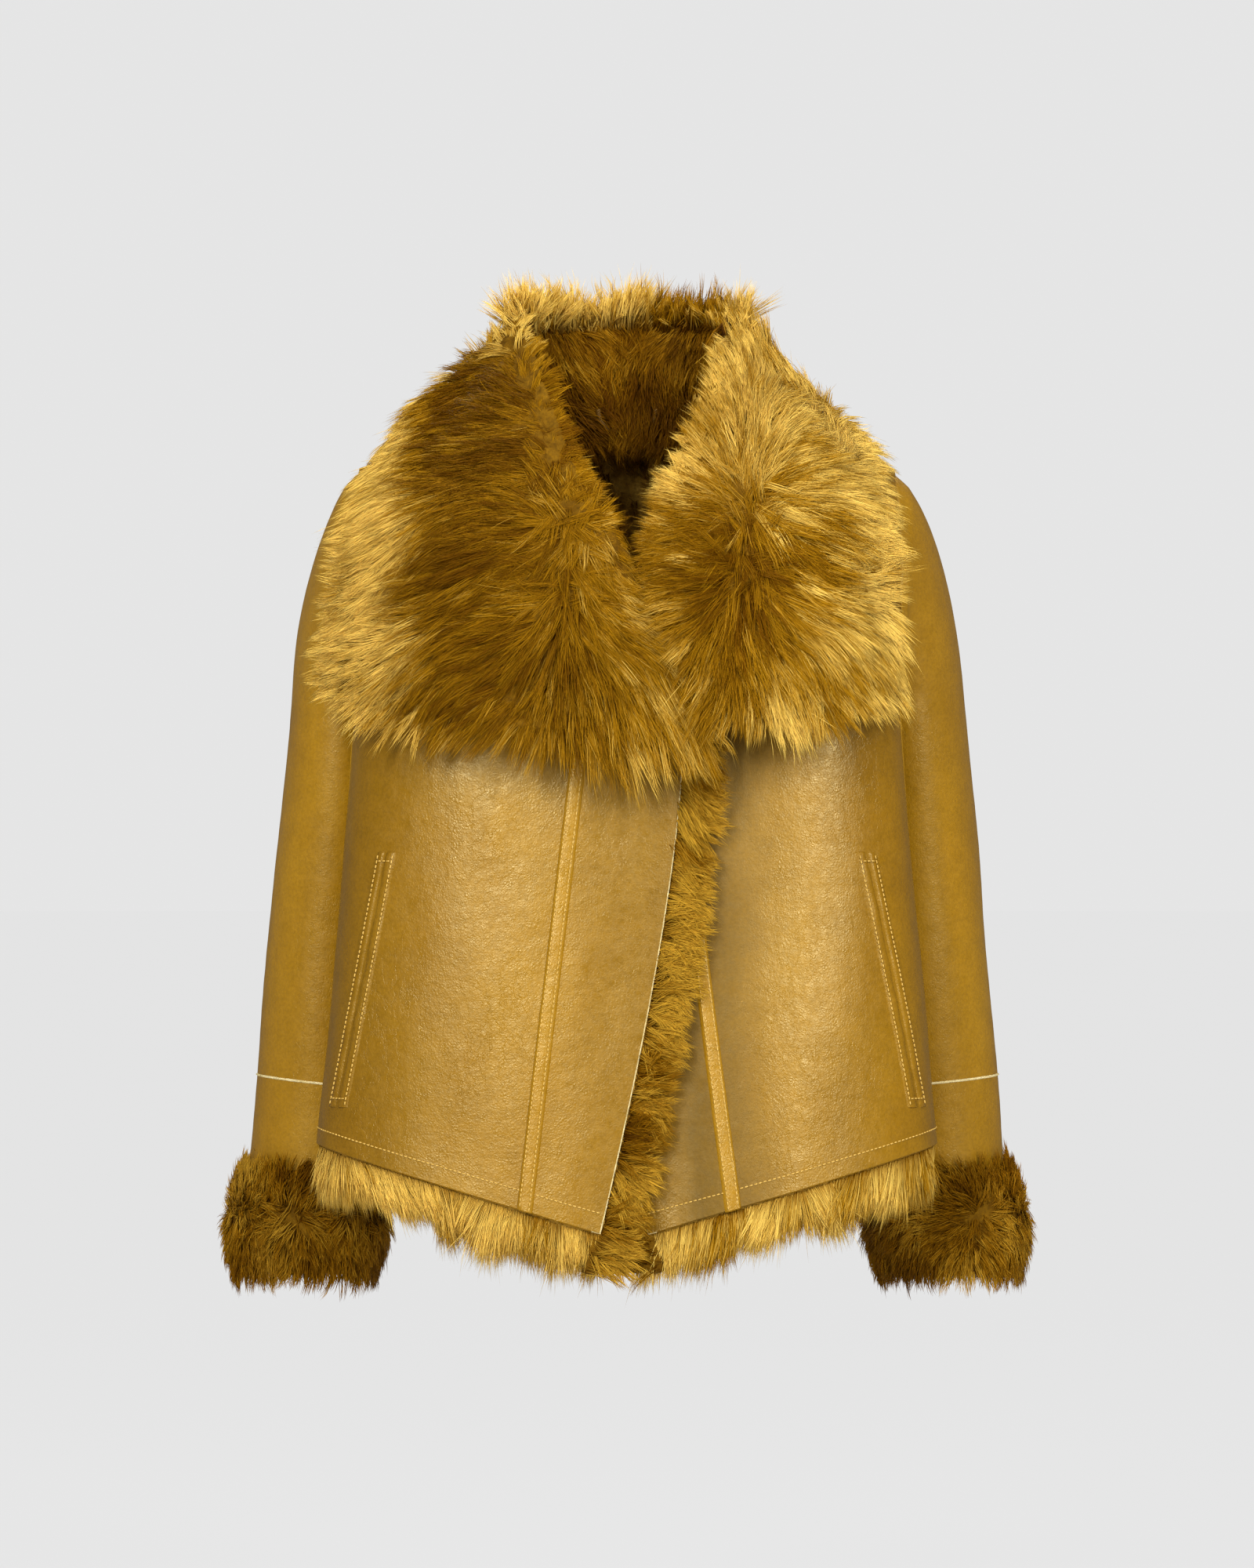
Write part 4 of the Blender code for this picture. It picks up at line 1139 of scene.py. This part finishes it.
def make_hem_fur(name, line, folds_seed, body, count, seed):
    """Fur that hangs below a hem line from the wool side."""
    attach = riding(body, "fur_pale")
    drape = soft_folds(line, folds_seed)
    deep = np.linspace(0.0042, 0.0112, 5)[:, None, None] - drape[None, :, None]
    root = line[None] + inward(line)[None] * deep + DOWN * 0.0016
    front = np.stack([root[1] - DOWN * 0.0010, root[1] + DOWN * 0.002, root[2] + DOWN * 0.0050])
    back = np.stack([root[-1] - DOWN * 0.0010, root[-1] + DOWN * 0.002, root[-2] + DOWN * 0.0055])
    made(name + "_pad", front, back, [FLOOR_WOOL], attach, [name], bulge=0.6, sharp=None)
    roots = scatter(root, count, seed)
    p = roots["points"]
    rng = np.random.default_rng(seed + 1)
    outward = -inward(p)
    roots["normals"] = unit(outward + DOWN * 0.3)
    beside = unit(np.cross(outward, DOWN)) * (0.22 * waves(p, 0.06, seed + 2))[:, None]
    comb = DOWN + beside + outward * (0.30 - 0.35 * roots["down"])[:, None]
    length = (0.037 + 0.004 * waves(p, 0.03, seed + 3)) * rng.uniform(0.85, 1.1, count)
    tone = 0.84 + 0.14 * waves(p, 0.05, seed + 4) - 0.25 * roots["down"]
    style = {"hairs": 11, "lift": 15, "spread": 0.0024, "sink": 0.0, "seed": seed + 5, "wild": 0.12}
    fur(name, roots, comb, length, tone, attach, PALE_FUR, droop=0.12, clump=0.55, **style)


def make_hem():
    for side, name in ((1, "left"), (-1, "right")):
        x_edge = float(inner_edge(side, np.array(HEM_CENTRE_Z)))
        inner_turn = float(turn_of(np.array(x_edge), np.array(HEM_CENTRE_Z)))
        x = side * front_x(HEM_BACK_Z, np.linspace(0.955, inner_turn, 150))
        z = front_hem_z(x)
        line = front_point(x, z, lap_at(side, x, z))
        make_hem_fur(f"hem_fur_{name}", line, FRONT_SEEDS[side], f"front_{name}", 1400, 80 + side)
        share = np.linspace(SIDE_SHARE + 0.002, 0.975, 40)
        flank = placed(rear_point(share, rear_hem_z(share)), side)
        make_hem_fur(f"side_hem_fur_{name}", flank, FLANK_SEED, "torso", 330, 90 + side)
    share = np.abs(np.linspace(-SIDE_SHARE + 0.002, SIDE_SHARE - 0.002, 180))
    back = rear_point(share, rear_hem_z(share))
    back[:90, 0] *= -1
    make_hem_fur("back_hem_fur", back, BACK_SEED, "torso", 1200, 97)


def spot(x, z, at_x, at_z, wide, high):
    """1 at a place seen from the front, falling off over a width and a height."""
    return np.exp(-(((x - at_x) / wide) ** 2) - ((z - at_z) / high) ** 2)


def lapel_tone(side, p, across):
    """Dark round the crown that the hair grows away from, and pale towards the outer edge."""
    x, z = p[:, 0], p[:, 2]
    patch = waves(p, 0.060, 110) * 0.07 + waves(p, 0.022, 111) * 0.08
    if side < 0:
        tone = 0.20 + 0.78 * ease((across - mix(0.50, 0.22, ease(z / 0.05))) / 0.30)
        tone += 0.26 * ease((x + 0.050) / 0.04) * ease((-z - 0.06) / 0.04)
        tone += 0.50 * ease((z - 0.020) / 0.030) * (1 - ease((across - 0.15) / 0.30))
        tone -= 0.35 * spot(x, z, -0.165, -0.208, 0.038, 0.016)
        tone -= 0.30 * spot(x, z, -0.118, 0.012, 0.020, 0.030)
        tone += 0.30 * ease((-z - 0.228) / 0.020) - 0.25 * spot(x, z, -0.004, -0.085, 0.020, 0.025)
    else:
        tone = 0.74 + 0.20 * ease((across - 0.6) / 0.3)
        tone -= 0.66 * spot(x, z, 0.088, -0.120, 0.048, 0.045)
        tone -= 0.42 * spot(x, z, 0.070, -0.185, 0.030, 0.040)
        tone -= 0.22 * spot(x, z, 0.150, -0.190, 0.035, 0.020)
        tone -= 0.25 * spot(x, z, 0.025, -0.115, 0.018, 0.030)
    return tone + patch


def from_parting(side, x, z):
    """The way from the lapel's parting, in x and z."""
    at_x, low, high = PARTING[side]
    return np.stack([x - at_x, z - np.clip(z, low, high)], axis=-1)


def lapel_density(side, p):
    """More locks at the shoulder and along the parting, so that the skin under them doesn't show."""
    x, z = p[..., 0], p[..., 2]
    away = np.linalg.norm(from_parting(side, x, z), axis=-1)
    return 1 + 0.5 * ease((0.03 - np.abs(z)) / 0.05) + 1.3 * np.exp(-((away / 0.020) ** 2))


def lapel_comb(side, p, across):
    """Hair runs away from a short parting, and over the neck edge where it is near."""
    x, z = p[:, 0], p[:, 2]
    away = from_parting(side, x, z)
    if side < 0:
        away[:, 1] -= 0.030 * ease((x + 0.06) / 0.05) * ease((-0.06 - z) / 0.06)
    size = np.linalg.norm(away, axis=-1, keepdims=True)
    away = away / np.maximum(size, 0.012)
    rng = np.random.default_rng(112)
    away = away + rng.normal(0, 0.9, away.shape) * (1 - ease(size / 0.03))
    swirl = waves(p, 0.10, 113) * 0.24
    cosine, sine = np.cos(swirl), np.sin(swirl)
    flow = vec(away[:, 0] * cosine - away[:, 1] * sine, 0.0, away[:, 0] * sine + away[:, 1] * cosine)
    lean = -0.30 if side > 0 else 0.45
    over = vec(-side * lean + 0.5 * waves(p, 0.028, 115), -0.45, 0.60 + 0.3 * waves(p, 0.03, 114))
    near_neck = ease((0.12 - across) / 0.09) * ease((z + 0.12) / 0.04)
    return mix(flow, over, near_neck[:, None])


def lapel_length(p, across, rng):
    """Shorter hair at the neck and the shoulder, and longer hair at the bottom of the front edge."""
    x, z = p[:, 0], p[:, 2]
    length = (0.033 + 0.003 * waves(p, 0.05, 107)) * rng.uniform(0.85, 1.1, len(p))
    length *= 1 + 0.30 * ease((0.92 - across) / 0.3) * ease(across / 0.4)
    length *= 1 - 0.45 * (1 - ease(across / 0.20)) * ease((z + 0.13) / 0.04)
    length *= 1 - 0.25 * ease((z + 0.06) / 0.06) * ease((np.abs(x) - 0.10) / 0.03)
    length *= 1 + 0.45 * ease((-z - 0.19) / 0.04) * ease((0.075 - np.abs(x - 0.02)) / 0.05)
    return length


def make_lapel(side, name):
    surface = lapel_surface(side)
    folds = waves(surface, 0.12, 100 + side) * 0.0012
    knobs = waves(surface, 0.016, 104) * 0.0009
    fur_skin(f"lapel_{name}", surface, folds, knobs, lambda slot: on_lapel(slot), [f"lapel_{name}"])
    base = pushed(surface, folds + FUR_ROOTS)
    roots = scatter(base, 3100, 105 + side, weight=lambda c: lapel_density(side, c))
    p, across = roots["points"], roots["across"]
    rng = np.random.default_rng(106 + side)
    comb = lapel_comb(side, p, across)
    length = lapel_length(p, across, rng)
    tone = lapel_tone(side, p, across)
    style = {"hairs": 15, "lift": 17, "spread": 0.0040, "seed": 108 + side, "wild": 0.12}
    style |= {"clump": 0.66, "droop": 0.08, "radius": 0.00029}
    fur(f"lapel_{name}_fur", roots, comb, length, tone, on_lapel("fur_pale"), PALE_FUR, **style)


def make_collar():
    fall = fall_surface()
    knobs = waves(fall, 0.016, 120) * 0.0009
    fur_skin("collar", fall, 0, knobs, lambda slot: riding("torso", slot), ["collar_fall"])
    count = 2400
    roots = scatter(pushed(fall, FUR_ROOTS), count, 121)
    p = roots["points"]
    rng = np.random.default_rng(122)
    comb = vec(0.75 * p[:, 0] / 0.12, 0.55, -1.0 + 0.5 * ease(p[:, 2] / 0.05))
    length = (0.031 + 0.003 * waves(p, 0.05, 123)) * rng.uniform(0.85, 1.1, count)
    tone = 0.55 + 0.15 * waves(p, 0.08, 124) + 0.10 * waves(p, 0.025, 125)
    style = {"hairs": 10, "lift": 20, "spread": 0.0044, "seed": 126, "wild": 0.18, "clump": 0.65}
    fur("collar_fur", roots, comb, length, tone, riding("torso", "fur_pale"), PALE_FUR, **style)
    make_nape(make_stand())
    make_roll_tufts()


def near_loop(p):
    """1 where the hair has to stand off round the hanger loop, and 0 away from it."""
    x, z = p[:, 0], p[:, 2]
    return ease((0.055 - np.abs(x)) / 0.015) * ease((z + 0.030) / 0.012) * ease((0.045 - z) / 0.012)


def make_stand():
    """The standing part of the collar, furred towards the neck. Returns its random numbers, part used."""
    attach = riding("torso", "fur_dark")
    wall = stand_surface()
    way = unit(vec(0, 0.020, wall[..., 2]) - wall)
    knobs = waves(wall, 0.014, 130) * 0.0009
    depth = (0.0085 + 0.0065 * ease((0.020 - wall[..., 2]) / 0.020) + knobs)[..., None]
    outer, inner = wall + way * (depth - 0.006), wall + way * depth
    made("collar_stand_wool", outer, inner, [DARK_WOOL], attach, ["collar_stand"], bulge=0.6, sharp=None)
    count = 1250
    roots = scatter(wall + way * (depth - 0.001), count, 131, outward=-1)
    p = roots["points"]
    roots["normals"] = unit(np.array((0, 0.020, 0)) - p * np.array((1, 1, 0)))
    rng = np.random.default_rng(132)
    comb = vec(0.25 + 0.8 * waves(p, 0.09, 133), 0, -1.0 + 0.25 * waves(p, 0.05, 137))
    # The tone varies at random, and its rise with height is painted shade: darkest low on the stand, deep inside
    # the neck, and paler towards its top.
    tone = 0.12 + 0.28 * ease((p[:, 2] - 0.022) / 0.035) + 0.12 * waves(p, 0.03, 134)
    loop = near_loop(p)
    length = mix(0.027, 0.037, rng.random(count)) * (1 + 0.15 * loop)
    style = {"hairs": 11, "lift": 44 + 14 * loop, "seed": 135, "wild": 0.20, "clump": 0.55, "spread": 0.0045}
    fur("collar_stand_fur", roots, comb, length, tone, attach, DARK_FUR, **style)
    return rng


def make_nape(rng):
    """The fur on the inside of the back, just below the stand."""
    half = sunk(back_surface(0, 0.62, 40)[:26], WOOL_FAR - 0.001)
    nape = np.concatenate([mirrored(half[:, :0:-1]), half], axis=1)
    count = 720
    roots = scatter(nape, count, 136, outward=-1, weight=lambda c: 1 + 2.0 * ease((c[..., 2] + 0.05) / 0.04))
    p = roots["points"]
    sweep = waves(p, 0.07, 137)
    comb = vec(0.5 + 0.8 * sweep, 0, -0.7 + 0.4 * sweep)
    # Painted shade: a dark tone, since the nape lies deep in the neck's shade.
    tone = 0.12 + 0.12 * waves(p, 0.04, 138)
    loop = near_loop(p)
    length = mix(0.018, 0.027, rng.random(count)) * (1 + 0.5 * loop)
    style = {"hairs": 10, "lift": 38 + 20 * loop, "seed": 139, "wild": 0.3, "clump": 0.6, "spread": 0.0042}
    fur("nape_fur", roots, comb, length, tone, riding("torso", "fur_dark"), DARK_FUR, **style)


def make_roll_tufts():
    """Longer hair that stands up along the collar's fold."""
    count = 900
    rng = np.random.default_rng(140)
    turn = rng.uniform(-1.05, 1.05, count)
    p = roll_point(np.abs(turn))
    p[:, 0] *= np.sign(turn)
    out = unit((p - np.array((0, 0.020, 0))) * np.array((1, 1, 0)))
    p = p + out * rng.uniform(-0.012, 0.006, count)[:, None]
    p = p + DOWN * rng.uniform(0.002, 0.010, count)[:, None]
    roots = {"points": p, "normals": unit(out * rng.normal(0.2, 0.4, count)[:, None] + (0, -0.1, 1.0))}
    comb = out * rng.normal(0.3, 0.7, count)[:, None] + np.array((0.25, -0.45, 0.2))
    comb = comb + rng.normal(0, 0.3, (count, 3))
    brown = ease((p[:, 0] - 0.005) / 0.02) * ease((0.082 - p[:, 0]) / 0.012)
    tone = 0.80 - 0.50 * brown + 0.12 * rng.normal(size=count)
    height = np.clip(1 + 0.24 * waves(p, 0.050, 142) + 0.22 * waves(p, 0.020, 143), 0.55, 1.30)
    length = rng.uniform(0.028, 0.043, count) * (1 - 0.20 * brown) * height
    style = {"hairs": 12, "lift": 66, "seed": 141, "wild": 0.35, "droop": 0.02, "curl": 0.15, "clump": 0.9}
    fur("roll_tufts", roots, comb, length, tone, riding("torso", "fur_pale"), PALE_FUR, **style)


def make_sleeve(side, name):
    seed = 150 if side < 0 else 160
    on_cuff = riding(f"lower_sleeve_{name}", "leather")
    parts = (
        ("sleeve_head", sleeve_head(), on_shoulder("leather"), "upper_sleeve"),
        ("sleeve", sleeve_tube(JOIN_Z, CUFF_SEAM_Z, 90), on_elbow("leather"), "lower_sleeve"),
        ("cuff", sleeve_tube(CUFF_SEAM_Z - 0.0004, CUFF_END_Z, 50), on_cuff, "cuff_panel"),
    )

    def folds(grid):
        crease = waves(grid, 0.17, seed + 3, (1, 1, 0.9)) * 0.0007
        return soft_folds(grid, seed, 0.8) + crease

    skins = []
    for label, grid, attach, node in parts:
        grid = placed(grid, side)
        rise = folds(grid)
        if label == "sleeve_head":
            # The skin dips where it is sewn into the armhole.
            rise[:5] += np.linspace(-0.0030, 0, 5)[:, None]
        skins.append((label, grid, rise, attach))
        leather_slab(f"{label}_{name}_leather", grid, rise, attach, [f"{node}_{name}"], wrap=True)
    for number, (label, grid, rise, attach) in enumerate(skins):
        wool_slab(f"{label}_{name}_wool", grid, rise, attach, seed + 5 + number, wrap=True)
    seam = placed(sleeve_tube(CUFF_SEAM_Z + 0.0009, CUFF_SEAM_Z - 0.0009, 5), side)
    rise = folds(seam)
    crown = np.array((0.0001, 0.0008, 0.0011, 0.0008, 0.0001))[:, None]
    outer, inner = pushed(seam, rise + crown, True), pushed(seam, rise - 0.0012, True)
    on_seam = riding(f"lower_sleeve_{name}", "raw_edge")
    nodes = [f"cuff_seam_welt_{name}"]
    made(f"cuff_seam_{name}_edge", outer, inner, [RAW_LOOK], on_seam, nodes, wrap=True, sharp=None)
    make_cuff_fur(side, name)


def make_cuff_fur(side, name):
    attach = riding(f"lower_sleeve_{name}", "fur_dark")
    rows = 26
    shape = (rows, CUFF_SPOKES)
    z = np.broadcast_to(np.linspace(-0.578, -0.655, rows)[:, None], shape)
    angle = np.broadcast_to(angles(CUFF_SPOKES), shape)
    swell = 0.0105 * np.sin(np.linspace(0.10, 0.93, rows) * np.pi)[:, None]
    face = placed(sleeve_ring(z, angle, swell + 0.0005), side)
    outer = pushed(face, waves(face, 0.016, 170) * 0.0009, True)
    inner = placed(sleeve_ring(z, angle, 0.0003), side)
    nodes = [f"cuff_fur_{name}"]
    made(f"cuff_fur_{name}_pad", outer, inner, [FLOOR_WOOL], attach, nodes, wrap=True, bulge=0.5, sharp=None)
    count = 1650
    roots = scatter(face, count, 171 + side, wrap=True)
    p = roots["points"]
    out = from_sleeve_middle(side, p)
    facing = np.einsum("ij,ij->i", roots["normals"], out)[:, None]
    roots["normals"] = roots["normals"] * np.sign(facing)
    rng = np.random.default_rng(173 + side)
    part = np.clip((-0.612 - p[:, 2]) / 0.030, -1, 1)
    comb = vec(0.25 * side * waves(p, 0.07, 174), 0, -part * 0.9 + 0.08 * rng.normal(size=count)) + out * 0.6
    # The tone varies at random, and is painted shade in part: paler on the cuff's outer side and darker on the
    # side that faces the body, which shades it.
    tone = 0.50 + 0.13 * waves(p, 0.07, 175) + 0.10 * np.clip(out[:, 0] * side, -1, 1)
    length = 0.021 * rng.uniform(0.85, 1.15, count)
    style = {"hairs": 10, "lift": 38, "spread": 0.0040, "seed": 177 + side, "wild": 0.11}
    fur(f"cuff_fur_{name}", roots, comb, length, tone, attach, DARK_FUR, droop=0.05, clump=0.50, **style)
    count = 300
    mouth = placed(sleeve_tube(-0.625, -0.652, 6, -0.0100), side)
    roots = scatter(mouth, count, 178 + side, outward=-1, wrap=True)
    roots["normals"] = -from_sleeve_middle(side, roots["points"])
    comb = DOWN + rng.normal(0, 0.25, (count, 3))
    length = np.full(count, 0.017)
    # Painted shade: the hair inside the sleeve's mouth is darker than the cuff's.
    tone = 0.25 + 0.1 * rng.normal(size=count)
    fur(f"cuff_mouth_{name}", roots, comb, length, tone, attach, DARK_FUR, hairs=8, lift=25, seed=179)


def make_hanger_loop():
    """A cord of three twisted strands, hanging in a U inside the back of the neck."""
    rows, spokes, strands = 150, 8, 3
    share = np.linspace(0, 1, rows)
    angle = np.pi * share
    centre = vec(-0.022 * np.cos(angle), 0.0505, 0.004 - 0.019 * np.sin(angle) ** 0.8)
    way = unit(np.gradient(centre, axis=0))
    flank = np.broadcast_to(np.array((0, 1.0, 0)), way.shape)
    top = np.cross(way, flank)
    points, faces = [], []
    for strand in range(strands):
        phase = 2 * np.pi * (strand / strands + share * 16)
        spine = centre + (flank * np.cos(phase)[:, None] + top * np.sin(phase)[:, None]) * 0.00095
        spin = np.arange(spokes) * 2 * np.pi / spokes
        ring = flank[:, None] * np.cos(spin)[None, :, None] + top[:, None] * np.sin(spin)[None, :, None]
        points.append((spine[:, None] + ring * 0.00092).reshape(-1, 3))
        index = np.arange(rows * spokes).reshape(rows, spokes) + strand * rows * spokes
        onward = np.roll(index, -1, axis=1)
        faces.append(np.stack([index[:-1], onward[:-1], onward[1:], index[1:]], axis=-1).reshape(-1, 4))
        faces.append(np.array([index[0][::-1], index[-1]]))
    points = np.concatenate(points)
    if volume(points, faces) < 0:
        faces = [f[:, ::-1] for f in faces]
    piece = new_piece("hanger_loop_cord", points, faces, [LOOP_LOOK], sharp=60)
    riding("hanger_loop", "loop_leather")(piece)
    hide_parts("hanger_loop")


# ---- Studio ----


def make_floor():
    """A round slab, wide enough that its rim is out of every view."""
    count, radius = 96, 40
    spin = np.arange(count) * 2 * np.pi / count
    x, y = radius * np.cos(spin), radius * np.sin(spin)
    points = np.concatenate([vec(x, y, -1.02), vec(x, y, -1.07)])
    ring = np.arange(count)
    onward = np.roll(ring, -1)
    side = np.stack([ring, ring + count, onward + count, onward], axis=-1)
    faces = [ring[None], ring[None, ::-1] + count, side]
    floor = new_piece("studio_floor", points, faces, [floor_material()], sharp=30)
    floor.visible_glossy = False


def add_light(name, place, aim, size, power):
    light = bpy.data.lights.new(name, "AREA")
    light.shape = "RECTANGLE"
    light.size, light.size_y = size
    light.energy = power
    lamp = bpy.data.objects.new(name, light)
    lamp.location = place
    way = Vector(aim) - Vector(place)
    lamp.rotation_euler = way.to_track_quat("-Z", "Y").to_euler()
    bpy.context.collection.objects.link(lamp)


def make_studio():
    scene = bpy.context.scene
    scene.view_settings.view_transform = "Standard"
    world = bpy.data.worlds.new("studio")
    world.use_nodes = True
    tree = world.node_tree
    shown = tree.nodes["Background"]
    shown.inputs["Color"].default_value = (0.785, 0.785, 0.785, 1)
    lit = tree.nodes.new("ShaderNodeBackground")
    lit.inputs["Color"].default_value = (1, 1, 1, 1)
    lit.inputs["Strength"].default_value = 0.16
    rays = tree.nodes.new("ShaderNodeLightPath")
    choose = tree.nodes.new("ShaderNodeMixShader")
    tree.links.new(rays.outputs["Is Camera Ray"], choose.inputs[0])
    tree.links.new(lit.outputs[0], choose.inputs[1])
    tree.links.new(shown.outputs[0], choose.inputs[2])
    tree.links.new(choose.outputs[0], tree.nodes["World Output"].inputs["Surface"])
    scene.world = world
    add_light("softbox_right", (-1.40, -3.5, 1.00), (0, 0, -0.30), (0.55, 1.9), 138)
    add_light("softbox_left", (1.75, -3.4, 1.00), (0, 0, -0.30), (0.45, 1.9), 128)
    add_light("softbox_top", (0, -0.6, 2.0), (0, 0, -0.2), (2.2, 1.4), 20)
    add_light("fill_back", (0.2, 2.4, 2.0), (0, 0, -0.25), (2.2, 1.6), 18)
    camera = bpy.data.cameras.new("camera")
    camera.lens = 181.5
    camera.clip_end = 200
    eye = bpy.data.objects.new("camera", camera)
    eye.location = (0, -6.0, -0.283)
    eye.rotation_euler = (math.pi / 2, 0, 0)
    bpy.context.collection.objects.link(eye)
    scene.camera = eye


make_studio()
make_floor()
make_back()
for side, name in ((-1, "right"), (1, "left")):
    make_front(side, name)
    make_edge_fur(side, name)
    make_lapel(side, name)
    make_sleeve(side, name)
make_hem()
make_collar()
make_hanger_loop()
